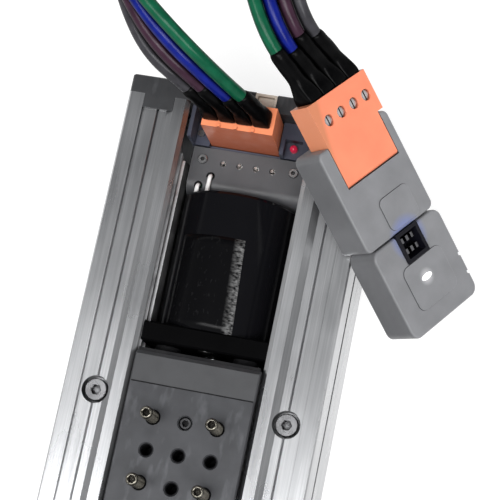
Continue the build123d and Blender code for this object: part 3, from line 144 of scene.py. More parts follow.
# Lead screw: its thread and the shoulder of its journal
SCREW_RADIUS = 0.004
SCREW_ROOT = 0.00325
SCREW_LEAD = 0.008
SCREW_STARTS = 4
SCREW_FROM = -0.127
SCREW_TO = 0.1105
SCREW_AXIS_Z = 0.025
SCREW_AROUND = 32
JOURNAL_RADIUS = 0.003
JOURNAL_FROM = -0.138
JOURNAL_CHAMFER = 0.0003
GROOVE_RADIUS = 0.0026
GROOVE = (-0.13515, -0.13405)

# Bare film on the motor: its sides in X and its ends in Y
MOTOR_RADIUS = 0.019
FILM_LEFT = -0.014
FILM_RIGHT = 0.0062
FILM_NEAR = 0.0675
FILM_FAR = 0.0974
FILM_SLANT = 0.0016
FILM_THICK = 0.00010
FILM_SINK = 0.00002
FILM_ROWS = 12
FILM_STEPS = 24

# Adapter: its back face leans on the right rail; x across it, y towards the wires
ADAPTER_LEAN = math.radians(41.8)
ADAPTER_TURN = math.radians(47.2)
ADAPTER_CORNER = Vector((0.0208, 0.1316, 0.06247))
ADAPTER_THICK = 0.0122

# Pads of the adapter: x from, x to, y from, y to and corner radius; then the dark lines round them that stand
# in for the shade at their feet
PAD_RAISE = 0.00035
PADS = (
    (0.0014, 0.0140, -0.0397, -0.0291, 0.0020),
    (-0.0025, 0.0148, -0.0659, -0.0512, 0.0025),
)
PAD_SHADE_LINE = 0.00016
PAD_SHADE_LINE_ROUNDNESS = 2
CORNER_STEPS = 6

# Lit window, painted light round its socket and painted shade on the side of its plug; a ring of the window
# has its size and height
LAMP_MIDDLE = (0.0051, -0.0573)
LAMP_LONG = 0.0022
LAMP_SHORT = 0.00095
LAMP_DOME = ((1.0, -0.0003), (1.0, 0.00004), (0.85, 0.00012), (0.45, 0.00018))
LAMP_AROUND = 28
GLOW_MIDDLE = (0.0060, -0.0438)
SIDE_SHADE_POINT = (-0.0028, 0.0)
SIDE_SHADE_LEAN = 0.229

# Ivory insert of the small socket in the end plate
INSERT_GAP = 0.0010
INSERT_BELOW = 0.0007
INSERT_DEEP = 0.003
INSERT_EDGE = 0.00025

# Shaders: stretches of values as from and to, with distances in millimetres, and two sample counts
MIDDLE = (0.3, 0.7)
OPEN_SKY = (0.75, 0.30)
SKY_SAMPLES = 6
EDGE_BEND = (0.985, 0.80)
EDGE_SAMPLES = 4
SIDE_TURN = (0.35, 0.85)
WALL_TURN = (0.5, 0.9)
WIRE_TURN = (-0.1, 0.75)
PLUG_NEAR = (20.0, 34.0)
RECESS_NEAR = (2.0, 2.8)
LAMP_NEAR = (1.2, 3.0)
GLOW_NEAR = (4.712, 7.6)
SIDE_SHADE_BORDER = (-0.9, 0.9)
GLARE_BORDER = (-3.4, 0.2)

# Studio: floor, world and its softboxes with their place, aim, size and watts
FLOOR_SIZE = 60.0
FLOOR_PLAIN = (0.80, 0.80, 0.80)
FLOOR_SHOWN = (0.30, 0.30, 0.30)
FLOOR_GLOW = 0.80
HORIZON = (1.0, 1.0, 1.0)
CEILING_NEAR = (0.44, 0.445, 0.45)
CEILING_FAR = (0.13, 0.132, 0.138)
CEILING_FROM_Z = (0.12, 0.42)
CEILING_TURN_Y = (0.32, -0.12)
SOFTBOXES = {
    "key": ((0.50, -0.40, 1.25), (0.0, 0.05, 0.04), (0.7, 0.7), 13.0),
    "overhead": ((-0.20, -0.34, 1.25), (-0.16, -0.22, 0.04), (0.8, 0.6), 12.0),
}

# Nodes whose finish differs from the rest of their slot
OWN_FINISH = {
    "rail_screws": "screw_worn",
    "set_screw": "screw_dark",
    "carriage_block": "block_steel_dark",
    "plug_adapter_body": "plug_orange_side_shaded",
    "adapter_contacts": "contact_metal",
    "plug_adapter_screws": "screw_pale",
}


def make_camera():
    data = bpy.data.cameras.new("camera")
    data.lens = CAMERA_LENS
    data.sensor_width = CAMERA_SENSOR
    data.clip_start, data.clip_end = CAMERA_REACH
    camera = bpy.data.objects.new("camera", data)
    bpy.context.scene.collection.objects.link(camera)
    turn = Matrix((CAMERA_RIGHT, CAMERA_UP, CAMERA_BACK)).transposed()
    camera.matrix_world = Matrix.Translation(CAMERA_PLACE) @ turn.to_4x4()
    bpy.context.scene.camera = camera


# Shader parts

def node(tree, kind, inputs=None, **settings):
    """New shader node; an input is a value or another node's output."""
    made = tree.nodes.new(kind)
    for name, value in settings.items():
        setattr(made, name, value)
    for name, value in (inputs or {}).items():
        put(tree, made.inputs[name], value)
    return made


def put(tree, socket, value):
    """Value of a socket, or a link to it where the value is another node's output."""
    if isinstance(value, bpy.types.NodeSocket):
        tree.links.new(value, socket)
    else:
        socket.default_value = value


def opaque(colour):
    return (*colour, 1.0)


def place(tree, stretch=(1, 1, 1)):
    """Object coordinates in millimetres, squeezed along each axis."""
    source = node(tree, "ShaderNodeTexCoord")
    scale = [1 / (MM * s) for s in stretch]
    mapping = node(tree, "ShaderNodeMapping", {"Vector": source.outputs["Object"], "Scale": scale})
    return mapping.outputs["Vector"]


def noise(tree, size, detail=3.0, stretch=(1, 1, 1)):
    """Noise whose blotches are about size millimetres wide."""
    inputs = {"Vector": place(tree, stretch), "Scale": 1.0 / size, "Detail": detail}
    return node(tree, "ShaderNodeTexNoise", inputs).outputs["Fac"]


def ranged(tree, value, between=MIDDLE, to=(0.0, 1.0)):
    """Value moved from one range to another and held at its ends."""
    made = node(tree, "ShaderNodeMapRange", {"Value": value}, clamp=True)
    for name, limit in zip(("From Min", "From Max", "To Min", "To Max"), (*between, *to)):
        made.inputs[name].default_value = limit
    return made.outputs["Result"]


def times(tree, first, second):
    made = node(tree, "ShaderNodeMath", {0: first, 1: second}, operation="MULTIPLY")
    return made.outputs["Value"]


def mix(tree, share, first, second):
    """Colour between two others, each a colour or another node's output."""
    made = node(tree, "ShaderNodeMix", data_type="RGBA")
    put(tree, made.inputs[0], share)
    for socket, colour in ((made.inputs[6], first), (made.inputs[7], second)):
        put(tree, socket, colour if isinstance(colour, bpy.types.NodeSocket) else opaque(colour))
    return made.outputs[2]


def shade(colour, factor, lift=0.0):
    """Colour made darker or paler."""
    return [min(1.0, c * factor + lift) for c in colour]


def bump(tree, height, depth):
    """Bump of the given depth in millimetres."""
    inputs = {"Height": height, "Distance": depth * MM, "Strength": 1.0}
    return node(tree, "ShaderNodeBump", inputs).outputs["Normal"]


def vector_math(tree, operation, first, second):
    return node(tree, "ShaderNodeVectorMath", {0: first, 1: second}, operation=operation)


def in_millimetres(point):
    return [c / MM for c in point]


def distance_from(tree, point):
    """Millimetres from a point given in metres."""
    return vector_math(tree, "DISTANCE", place(tree), in_millimetres(point)).outputs["Value"]


def beyond_plane(tree, point, direction):
    """Millimetres past a plane, given a point of it in metres and the way past it."""
    away = vector_math(tree, "SUBTRACT", place(tree), in_millimetres(point)).outputs["Vector"]
    return vector_math(tree, "DOT_PRODUCT", away, list(direction)).outputs["Value"]


def crevices(tree, reach, between=OPEN_SKY):
    """1 deep in corners and gaps and 0 on open faces; reach is in millimetres."""
    sky = node(tree, "ShaderNodeAmbientOcclusion", {"Distance": reach * MM}, samples=SKY_SAMPLES)
    return ranged(tree, sky.outputs["AO"], between)


def facing(tree, direction, between=SIDE_TURN):
    """1 on faces that look along a direction and 0 on those turned away from it."""
    normal = node(tree, "ShaderNodeNewGeometry").outputs["Normal"]
    return ranged(tree, vector_math(tree, "DOT_PRODUCT", normal, list(direction)).outputs["Value"], between)


def edges(tree, width):
    """1 along the edges of a piece and 0 on its faces; width is in millimetres."""
    soft = node(tree, "ShaderNodeBevel", {"Radius": width * MM}, samples=EDGE_SAMPLES).outputs["Normal"]
    hard = node(tree, "ShaderNodeNewGeometry").outputs["Normal"]
    return ranged(tree, vector_math(tree, "DOT_PRODUCT", soft, hard).outputs["Value"], EDGE_BEND)


def new_material(name):
    material = bpy.data.materials.new(name)
    material.use_nodes = True
    tree = material.node_tree
    tree.nodes.clear()
    shader = node(tree, "ShaderNodeBsdfPrincipled")
    node(tree, "ShaderNodeOutputMaterial", {"Surface": shader.outputs["BSDF"]})
    return material, tree, shader


def finish_shader(tree, shader, body, roughness, normal, **uniform):
    """Colour, roughness and normal from nodes; uniform numbers straight on their sockets."""
    for name, value in (("Base Color", body), ("Roughness", roughness), ("Normal", normal)):
        tree.links.new(value, shader.inputs[name])
    for name, value in uniform.items():
        shader.inputs[name.replace("_", " ")].default_value = value


# Materials; sizes and depths in them are in millimetres

def moulded(name, colour, roughness=0.45, grain=0.35, depth=0.012, wear_and_highlight=0.25, spread=0.12, paint_light_shade=None,
            corner_shade=0.0, gloss=0.5):
    """Moulded plastic: fine grain, faint clouding, paler edges from wear and painted highlight, painted shade
    in the corners, and any painted light and shade handed in.
    """
    material, tree, shader = new_material(name)
    cloud = ranged(tree, noise(tree, size=9.0, detail=4.0))
    body = mix(tree, cloud, shade(colour, 1 - spread), shade(colour, 1 + spread, lift=0.004 * spread))
    # Painted light and shade of the piece, from the function handed in
    if paint_light_shade:
        body = paint_light_shade(tree, body)
    # Paler edges: wear and painted highlight
    edge = times(tree, edges(tree, width=0.25), wear_and_highlight)
    body = mix(tree, edge, body, shade(colour, 1.5, lift=0.03))
    # Painted shade: darker in corners and gaps, by ambient occlusion
    if corner_shade:
        body = mix(tree, times(tree, crevices(tree, reach=0.7), corner_shade), body, shade(colour, 0.15))
    rubbed = ranged(tree, noise(tree, size=5.0, detail=5.0), between=(0.35, 0.7),
                    to=(roughness * 0.82, min(1.0, roughness * 1.2)))
    normal = bump(tree, noise(tree, grain, detail=2.0), depth)
    finish_shader(tree, shader, body, rubbed, normal, Specular_IOR_Level=gloss)
    return material


def machined(name, colour, roughness=0.35, stretch=(1, 1, 1), line=0.12, depth=0.004, spread=0.1, wear_and_highlight=0.3,
             corner_shade=0.0):
    """Bare or plated metal with the marks of its making along one way, paler edges from wear and painted
    highlight, and painted shade in its corners.
    """
    material, tree, shader = new_material(name)
    lines = noise(tree, line, stretch=stretch)
    body = mix(tree, ranged(tree, lines), shade(colour, 1 - spread), shade(colour, 1 + spread))
    # Paler edges: wear and painted highlight
    edge = times(tree, edges(tree, width=0.18), wear_and_highlight)
    body = mix(tree, edge, body, shade(colour, 1.25, lift=0.05))
    # Painted shade: near black in corners, sockets and holes, by ambient occlusion
    if corner_shade:
        corners = crevices(tree, reach=1.6, between=(0.92, 0.52))
        body = mix(tree, times(tree, corners, corner_shade), body, shade(colour, 0.03))
    haze = ranged(tree, noise(tree, size=6.0, detail=5.0), between=(0.3, 0.75),
                  to=(roughness * 0.75, min(1.0, roughness * 1.3)))
    finish_shader(tree, shader, body, haze, bump(tree, lines, depth), Metallic=1.0)
    return material


def beside_plug(tree):
    """1 near the plug of the module and 0 away from it."""
    low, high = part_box("plug_module_body")
    near = distance_from(tree, (low[0], (low[1] + high[1]) / 2, high[2]))
    return ranged(tree, near, PLUG_NEAR, to=(1.0, 0.0))


def extruded_aluminium():
    """Clear anodised extrusion: streaks along Y, a few long scuffs, paler edges from wear and painted
    highlight, painted shade in the corners, and painted shade on the walls beside the plug.
    """
    material, tree, shader = new_material("rail_aluminium")
    fine = noise(tree, size=0.35, stretch=(1, 160, 1))
    broad = noise(tree, size=3.2, stretch=(1, 26, 1))
    long_marks = noise(tree, size=0.5, detail=2.0, stretch=(1, 40, 1))
    cloud = noise(tree, size=14.0, detail=5.0, stretch=(1, 2.5, 1))
    body = mix(tree, ranged(tree, fine, (0.25, 0.75)), (0.40, 0.405, 0.415), (0.54, 0.545, 0.555))
    body = mix(tree, ranged(tree, broad, (0.42, 0.72), to=(0.0, 0.60)), body, (0.33, 0.335, 0.345))
    body = mix(tree, ranged(tree, long_marks, (0.62, 0.80), to=(0.0, 0.45)), body, (0.74, 0.745, 0.755))
    # Paler edges: wear and painted highlight
    body = mix(tree, times(tree, edges(tree, width=0.2), 0.35), body, (0.80, 0.80, 0.81))
    # Painted shade: darker in corners and grooves, by ambient occlusion
    body = mix(tree, times(tree, crevices(tree, reach=1.4), 0.85), body, (0.05, 0.05, 0.052))
    # Painted shade on the walls that face +X beside the plug
    painted_wall_shade = times(tree, facing(tree, (1, 0, 0), WALL_TURN), beside_plug(tree))
    body = mix(tree, painted_wall_shade, body, (0.020, 0.024, 0.032))
    haze = ranged(tree, cloud, (0.3, 0.72), to=(0.25, 0.35))
    finish_shader(tree, shader, body, haze, bump(tree, fine, depth=0.006), Metallic=1.0)
    return material


def anodised_dark(name, colour, smear):
    """Dark anodised aluminium with rubbed smears where hands and tools touch it."""
    material, tree, shader = new_material(name)
    cloud = ranged(tree, noise(tree, size=7.0, detail=5.0))
    body = mix(tree, cloud, shade(colour, 0.85), shade(colour, 1.2))
    rubbed = ranged(tree, noise(tree, size=3.4, detail=5.0, stretch=(1, 3.0, 1)), (0.56, 0.72))
    body = mix(tree, times(tree, rubbed, smear), body, shade(colour, 2.6, lift=0.02))
    # Paler edges: wear and painted highlight
    body = mix(tree, times(tree, edges(tree, width=0.22), 0.22), body, shade(colour, 3.2, lift=0.06))
    # Painted shade: near black in corners and holes, by ambient occlusion
    body = mix(tree, times(tree, crevices(tree, reach=1.2), 0.95), body, (0.003, 0.003, 0.003))
    haze = ranged(tree, noise(tree, size=5.0, detail=5.0, stretch=(1, 2.0, 1)), (0.3, 0.72), to=(0.36, 0.54))
    normal = bump(tree, noise(tree, size=0.12), depth=0.004)
    finish_shader(tree, shader, body, haze, normal, Metallic=0.45)
    return material


def lacquered_black():
    """Black lacquer of the motor with a little dust and orange peel."""
    material, tree, shader = new_material("motor_black")
    dust = ranged(tree, noise(tree, size=0.22, detail=2.0), (0.76, 0.80), to=(0.0, 0.35))
    body = mix(tree, dust, (0.004, 0.004, 0.005), (0.10, 0.10, 0.10))
    haze = ranged(tree, noise(tree, size=6.0, detail=5.0), to=(0.10, 0.22))
    normal = bump(tree, noise(tree, size=1.6, detail=2.0), depth=0.008)
    finish_shader(tree, shader, body, haze, normal,
                  Specular_IOR_Level=0.10, Coat_Weight=0.04, Coat_Roughness=0.05)
    return material


def film_black():
    """Bare film, black as the motor under it, with a ragged painted highlight along its right edge."""
    material, tree, shader = new_material("film_black")
    pits = ranged(tree, noise(tree, size=1.1, detail=4.0, stretch=(1, 2.2, 1)), (0.60, 0.72), to=(0.0, 0.5))
    body = mix(tree, pits, (0.003, 0.003, 0.0035), (0.012, 0.012, 0.013))
    past_edge = Vector((FILM_FAR - FILM_NEAR, FILM_SLANT, 0.0)).normalized()
    past = beyond_plane(tree, (FILM_RIGHT, FILM_FAR, 0.0), past_edge)
    rag = ranged(tree, noise(tree, size=1.3, detail=6.0, stretch=(1, 0.5, 1)), (0.36, 0.72))
    # Painted highlight: ragged pale glare past the right edge
    painted_glare = times(tree, ranged(tree, past, GLARE_BORDER), rag)
    body = mix(tree, painted_glare, body, (0.30, 0.30, 0.30))
    haze = ranged(tree, pits, (0.0, 0.5), to=(0.22, 0.40))
    normal = bump(tree, noise(tree, size=2.4), depth=0.01)
    finish_shader(tree, shader, body, haze, normal, Specular_IOR_Level=0.08)
    return material


def vinyl(name, colour, roughness=0.30, coat=0.14, gloss=0.05):
    """Wire insulation: a soft gloss, faint mottling, tiny dents, and painted shade below and between wires.
    """
    material, tree, shader = new_material(name)
    cloud = ranged(tree, noise(tree, size=4.0, detail=4.0))
    body = mix(tree, cloud, shade(colour, 0.8), shade(colour, 1.25, lift=0.002))
    # Painted shade: darker where the insulation turns away from above
    body = mix(tree, facing(tree, (0, 0, 1), WIRE_TURN), shade(colour, 0.4), body)
    # Painted shade: darker in the gaps between wires, by ambient occlusion
    gaps = times(tree, crevices(tree, reach=1.5, between=(0.95, 0.55)), 0.9)
    body = mix(tree, gaps, body, shade(colour, 0.1))
    haze = ranged(tree, noise(tree, size=2.5), to=(roughness * 0.8, roughness * 1.3))
    normal = bump(tree, noise(tree, size=1.1), depth=0.02)
    finish_shader(tree, shader, body, haze, normal,
                  Coat_Weight=coat, Coat_Roughness=0.12, Specular_IOR_Level=gloss)
    return material


def adapter_lit_and_shaded(tree, body):
    """Painted shade on the left side of the adapter, painted light shed by its lamp, and painted bluish light
    round its socket.
    """
    # Painted shade on the faces turned to the left
    side = times(tree, facing(tree, -adapter_ways()[0]), 0.75)
    body = mix(tree, side, body, (0.070, 0.071, 0.075))
    # Painted light round the lamp window
    near_lamp = distance_from(tree, adapter_point(*LAMP_MIDDLE, ADAPTER_THICK))
    body = mix(tree, ranged(tree, near_lamp, LAMP_NEAR, to=(0.55, 0.0)), body, (0.55, 0.55, 0.56))
    # Painted bluish light round the socket
    near_socket = distance_from(tree, adapter_point(*GLOW_MIDDLE, ADAPTER_THICK))
    return mix(tree, ranged(tree, near_socket, GLOW_NEAR, to=(0.80, 0.0)), body, (0.150, 0.185, 0.370))


def painted_recess_shade(tree, body):
    """Painted shade, near black, on the floor of the recess that holds the red lamp."""
    low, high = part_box("status_led")
    near = distance_from(tree, ((low[0] + high[0]) / 2, (low[1] + high[1]) / 2, high[2]))
    return mix(tree, ranged(tree, near, RECESS_NEAR, to=(0.95, 0.0)), body, (0.003, 0.003, 0.004))


def painted_front_shade(tree, body):
    """Painted shade: a duller, redder front face of the module's plug."""
    return mix(tree, times(tree, facing(tree, (0, -1, 0)), 0.85), body, (0.36, 0.085, 0.035))


def painted_side_shade(tree, body):
    """Painted shade: a browner side of the adapter's plug, with a soft border."""
    across, along = adapter_ways()[:2]
    past = beyond_plane(tree, adapter_point(*SIDE_SHADE_POINT, ADAPTER_THICK), across - along * SIDE_SHADE_LEAN)
    return mix(tree, ranged(tree, past, SIDE_SHADE_BORDER, to=(0.85, 0.0)), body, (0.50, 0.185, 0.090))


def lamp(name, dark, pale, mottle, detail, roughness, glow, strength, clear=0.0):
    """Lit window or lens, mottled between two colours."""
    material, tree, shader = new_material(name)
    frost = ranged(tree, noise(tree, mottle, detail))
    tree.links.new(mix(tree, frost, dark, pale), shader.inputs["Base Color"])
    shader.inputs["Roughness"].default_value = roughness
    shader.inputs["Transmission Weight"].default_value = clear
    shader.inputs["Emission Color"].default_value = opaque(glow)
    shader.inputs["Emission Strength"].default_value = strength
    return material


def make_materials():
    """One material for each slot of the record, and the finishes that single nodes have of their own."""
    along = (1, 60, 1)
    plug = {"roughness": 0.40, "grain": 0.5, "depth": 0.010, "wear_and_highlight": 0.35, "spread": 0.08, "corner_shade": 0.85}
    made = [
        extruded_aluminium(),
        anodised_dark("end_plate_anodised", (0.040, 0.041, 0.044), smear=0.35),
        anodised_dark("carriage_anodised", (0.039, 0.040, 0.044), smear=0.45),
        machined("guide_steel", (0.55, 0.55, 0.56), roughness=0.45, stretch=along, line=0.3),
        machined("bearing_steel", (0.60, 0.60, 0.61), roughness=0.18),
        machined("screw_steel", (0.55, 0.55, 0.55), roughness=0.24, corner_shade=0.95),
        machined("screw_pale", (0.80, 0.76, 0.76), roughness=0.22, corner_shade=0.7),
        machined("screw_worn", (0.34, 0.34, 0.35), roughness=0.26, wear_and_highlight=0.6, corner_shade=1.0),
        machined("screw_dark", (0.075, 0.075, 0.078), roughness=0.32, corner_shade=0.9),
        machined("stud_steel", (0.19, 0.178, 0.15), roughness=0.18, wear_and_highlight=1.0, corner_shade=0.95),
        machined("block_steel_dark", (0.060, 0.060, 0.062), roughness=0.45, stretch=(1, 30, 1), line=0.3),
        machined("thread_shade_black", (0.010, 0.010, 0.011), roughness=0.50),
        machined("contact_metal", (0.16, 0.16, 0.17), roughness=0.22),
        machined("core_iron", (0.22, 0.22, 0.23), roughness=0.5, stretch=(1, 0.2, 1), line=0.5),
        machined("nut_bronze", (0.55, 0.40, 0.20), roughness=0.3),
        machined("pin_metal", (0.66, 0.65, 0.63), roughness=0.2),
        lacquered_black(),
        film_black(),
        moulded("plate_black", (0.0012, 0.0012, 0.0014), roughness=0.50, wear_and_highlight=0.1, gloss=0.02),
        moulded("bracket_grey", (0.060, 0.061, 0.066), roughness=0.50, grain=0.5, depth=0.006, wear_and_highlight=0.3,
                corner_shade=0.8),
        moulded("rubber_black", (0.008, 0.008, 0.009), roughness=0.8, grain=0.3, depth=0.02, wear_and_highlight=0.1,
                gloss=0.2),
        moulded("cap_plastic", (0.033, 0.034, 0.037), roughness=0.5, grain=0.3, wear_and_highlight=0.15, corner_shade=0.95),
        moulded("housing_plastic", (0.034, 0.038, 0.060), paint_light_shade=painted_recess_shade, corner_shade=0.95),
        moulded("board_green", (0.015, 0.075, 0.04), roughness=0.3),
        moulded("component_black", (0.016, 0.016, 0.018)),
        moulded("socket_ivory", (0.62, 0.56, 0.48), roughness=0.4),
        moulded("plug_orange", (0.78, 0.235, 0.105), paint_light_shade=painted_front_shade, **plug),
        moulded("plug_orange_side_shaded", (0.78, 0.222, 0.118), paint_light_shade=painted_side_shade, **plug),
        moulded("shade_line_grey", (0.045, 0.046, 0.050), roughness=0.6),
        moulded("adapter_grey", (0.185, 0.187, 0.196), roughness=0.46, grain=0.25, wear_and_highlight=0.8, spread=0.10,
                paint_light_shade=adapter_lit_and_shaded, corner_shade=0.8),
        moulded("socket_black", (0.004, 0.004, 0.007), roughness=0.35, gloss=0.2),
        lamp("lamp_red", (0.42, 0.01, 0.04), (0.65, 0.03, 0.08), mottle=1.0, detail=2.0, roughness=0.15,
             glow=(0.6, 0.02, 0.06), strength=0.25, clear=0.2),
        lamp("lamp_window", (0.72, 0.72, 0.74), (0.86, 0.86, 0.88), mottle=0.5, detail=3.0, roughness=0.35,
             glow=(1.0, 1.0, 1.0), strength=0.9),
        vinyl("sleeve_black", (0.0010, 0.0010, 0.0012), roughness=0.45, coat=0.05, gloss=0.02),
        vinyl("wire_white", (0.85, 0.85, 0.84), roughness=0.35),
        vinyl("wire_grey", (0.036, 0.035, 0.040)),
        vinyl("wire_violet", (0.034, 0.014, 0.026)),
        vinyl("wire_blue", (0.003, 0.009, 0.15)),
        vinyl("wire_green", (0.003, 0.072, 0.034)),
    ]
    return {material.name: material for material in made}


def dress_nodes(materials):
    """Every carried over node gets the material of its slot, or its own finish of it."""
    for part in frame["record"]["subparts"]:
        finish = OWN_FINISH.get(part["node"], part["material_slot"])
        for slot in NODES[part["node"]].material_slots:
            slot.material = materials[finish]


# Pieces built here

def link_piece(name, data, material, body):
    piece = bpy.data.objects.new(name, data)
    bpy.context.scene.collection.objects.link(piece)
    data.materials.append(material)
    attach(piece, body)
    return piece


def wire_points(index):
    step = index - (len(WIRE_NAMES) - 1) / 2
    return [[m + step * s for m, s in zip(middle, side)] for middle, side in HARNESS]


def wire_curve(name, points):
    curve = bpy.data.curves.new(name, "CURVE")
    curve.dimensions = "3D"
    curve.resolution_u = WIRE_STEPS
    spline = curve.splines.new("NURBS")
    spline.points.add(len(points) - 1)
    for point, where in zip(spline.points, points):
        point.co = (*where, 1.0)
    spline.order_u = 3
    spline.use_endpoint_u = True
    return curve


def curve_line(curve):
    """Points along a curve that has no thickness yet, in metres."""
    holder = bpy.data.objects.new("line", curve)
    bpy.context.scene.collection.objects.link(holder)
    bpy.context.view_layer.update()
    mesh = bpy.data.meshes.new_from_object(holder.evaluated_get(bpy.context.evaluated_depsgraph_get()))
    line = [vertex.co.copy() for vertex in mesh.vertices]
    bpy.data.meshes.remove(mesh)
    bpy.data.objects.remove(holder)
    return line


def part_of_line(line, start, end, count):
    """Evenly spaced points of a line from one distance along it to another."""
    lengths = [0.0]
    for first, second in zip(line, line[1:]):
        lengths.append(lengths[-1] + (second - first).length)
    points = []
    for step in range(count):
        wanted = start + (end - start) * step / (count - 1)
        after = next(i for i, length in enumerate(lengths) if length >= wanted and i > 0)
        share = (wanted - lengths[after - 1]) / (lengths[after] - lengths[after - 1])
        points.append(line[after - 1].lerp(line[after], share))
    return points


def sleeve_ring(point, side, across, radius, boot, depth):
    """Ring of a sleeve, round where it is free and pressed square where boot nears 1."""
    power = 2 / (2 + BOOT_SQUARENESS * boot)
    ring_points = []
    for step in range(SLEEVE_AROUND):
        angle = 2 * math.pi * step / SLEEVE_AROUND
        wide = math.copysign(abs(math.cos(angle)) ** power, math.cos(angle))
        deep = math.copysign(abs(math.sin(angle)) ** power, math.sin(angle))
        deep *= 1 + (depth - 1) * boot
        ring_points.append(point + (side * wide + across * deep) * radius)
    return ring_points


def add_sleeve(made, line, row_way, depth):
    """Sleeve along a line: square in the plug, softly waved, and tight on the wire at its far end."""
    side = row_way
    fast, slow = SLEEVE_RIPPLES
    loose_share = 1 - SLEEVE_SHRUNK_SHARE
    travelled = 0.0
    rings = []
    for index, point in enumerate(line):
        share = index / (len(line) - 1)
        travelled += (point - line[max(index - 1, 0)]).length
        ahead = (line[min(index + 1, len(line) - 1)] - line[max(index - 1, 0)]).normalized()
        side = (side - ahead * side.dot(ahead)).normalized()
        wave = SLEEVE_WAVE * math.sin(fast * share) * math.sin(slow * share + 1)
        shrunk = max(0.0, (share - loose_share) / SLEEVE_SHRUNK_SHARE) ** 2
        radius = SLEEVE_RADIUS + wave - SLEEVE_SHRINK * shrunk
        boot = max(0.0, 1 - travelled / BOOT_LENGTH)
        rings.append(sleeve_ring(point, side, ahead.cross(side), radius, boot * boot * (3 - 2 * boot), depth))
    skin_rings(made, rings)


def make_harness(materials):
    """Four wires and the sleeves that follow them out of each plug."""
    sleeves = {end: bmesh.new() for end in SLEEVE_ENDS}
    wires = []
    for index, name in enumerate(WIRE_NAMES):
        curve = wire_curve("wire_" + name + "_run", wire_points(index))
        line = curve_line(curve)
        for end, made in sleeves.items():
            run = line if end == "module" else line[::-1]
            sleeve_end = SLEEVE_ENDS[end] + SLEEVE_UNEVEN * math.sin(SLEEVE_UNEVEN_STEP * index)
            covered = part_of_line(run, SLEEVE_START, sleeve_end, SLEEVE_ROWS)
            row_way = Vector((1, 0, 0)) if end == "module" else adapter_ways()[0]
            add_sleeve(made, covered, row_way, BOOT_DEPTH[end])
        curve.bevel_depth = WIRE_RADIUS
        curve.bevel_resolution = WIRE_ROUNDNESS
        curve.use_fill_caps = True
        slot_name = "wire_" + name
        wire = link_piece(slot_name + "_run", curve, materials[slot_name], "base")
        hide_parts(slot_name)
        wires.append((wire, wire_points(index)[0], WIRE_LENGTHS[name]))
    for end, made in sleeves.items():
        name = "sleeves_" + end + "_fitted"
        cover = mesh_piece(name, made, materials["sleeve_black"], "base")
        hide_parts("sleeves_" + end)
    declare_harness(wires)


def declare_harness(wires):
    for wire, start, length in wires:
        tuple(start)


# Threads, film, insert, dark strips that stand in for shade, and lamp window

def upright(x, y):
    """Places round an upright axis, from an angle, a radius and a height."""
    def spot(angle, radius, height):
        return Vector((x + radius * math.cos(angle), y + radius * math.sin(angle), height))

    return spot


def round_screw(angle, radius, y):
    """Place round the axis of the lead screw."""
    return Vector((radius * math.sin(angle), y, SCREW_AXIS_Z + radius * math.cos(angle)))


def ring(spot, radius, height, around=THREAD_AROUND):
    return [spot(2 * math.pi * step / around, radius, height) for step in range(around)]


def hexagon(spot, across, height):
    """Six sided ring whose flats lie at a distance from the axis."""
    sixth = math.pi / 3
    angles = [2 * math.pi * step / THREAD_AROUND for step in range(THREAD_AROUND)]
    return [spot(a, across / math.cos(a % sixth - sixth / 2), height) for a in angles]


def thread_share(phase):
    """How deep a thread is at a phase of its pitch: 0 on the crest and 1 in the root."""
    from_crest = 2 * abs(phase % 1.0 - 0.5)
    return min(1.0, max(0.0, (from_crest - CREST_SHARE) / FLANK_SHARE))


def thread_rings(spot, start, end, crest, root, pitch, starts=1, around=THREAD_AROUND):
    """Rings of a right hand thread that runs out at both ends."""
    count = round(ROWS_PER_PITCH * (end - start) / pitch)
    rings = []
    for row in range(count + 1):
        height = start + (end - start) * row / count
        full = min(1.0, 2 * min(height - start, end - height) / pitch)
        points = []
        for step in range(around):
            share = thread_share(height / pitch - starts * step / around) * full
            points.append(spot(2 * math.pi * step / around, crest - (crest - root) * share, height))
        rings.append(points)
    return rings


def skin_rings(made, rings):
    """Closed skin over rings of as many points each."""
    rows = [[made.verts.new(point) for point in points] for points in rings]
    around = len(rows[0])
    for first, second in zip(rows, rows[1:]):
        for step in range(around):
            ahead = (step + 1) % around
            made.faces.new((first[step], first[ahead], second[ahead], second[step])).smooth = True
    made.faces.new(list(reversed(rows[0])))
    made.faces.new(rows[-1])


def mesh_piece(name, made, material, body):
    bmesh.ops.recalc_face_normals(made, faces=made.faces)
    mesh = bpy.data.meshes.new(name)
    made.to_mesh(mesh)
    made.free()
    return link_piece(name, mesh, material, body)


def grid_place(column, row):
    return column * GRID_PITCH, PLATE_Y + row * GRID_PITCH


def make_studs(materials):
    """Threaded studs in the corner holes of the carriage plate."""
    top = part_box("carriage_studs")[1][2]
    made = bmesh.new()
    for column, row in STUD_PLACES:
        spot = upright(*grid_place(column, row))
        rings = [ring(spot, STUD_CORE, STUD_LOW), ring(spot, STUD_CORE, PLATE_TOP - M4_PITCH)]
        rings += thread_rings(spot, PLATE_TOP, top - STUD_CHAMFER, STUD_RADIUS, STUD_ROOT, M4_PITCH)
        rings.append(ring(spot, STUD_RADIUS - STUD_CHAMFER, top))
        rings += [hexagon(spot, STUD_SOCKET, top), hexagon(spot, STUD_SOCKET, top - STUD_SOCKET_DEPTH)]
        skin_rings(made, rings)
    studs = mesh_piece("carriage_studs_threaded", made, materials["stud_steel"], "carriage")
    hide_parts("carriage_studs")


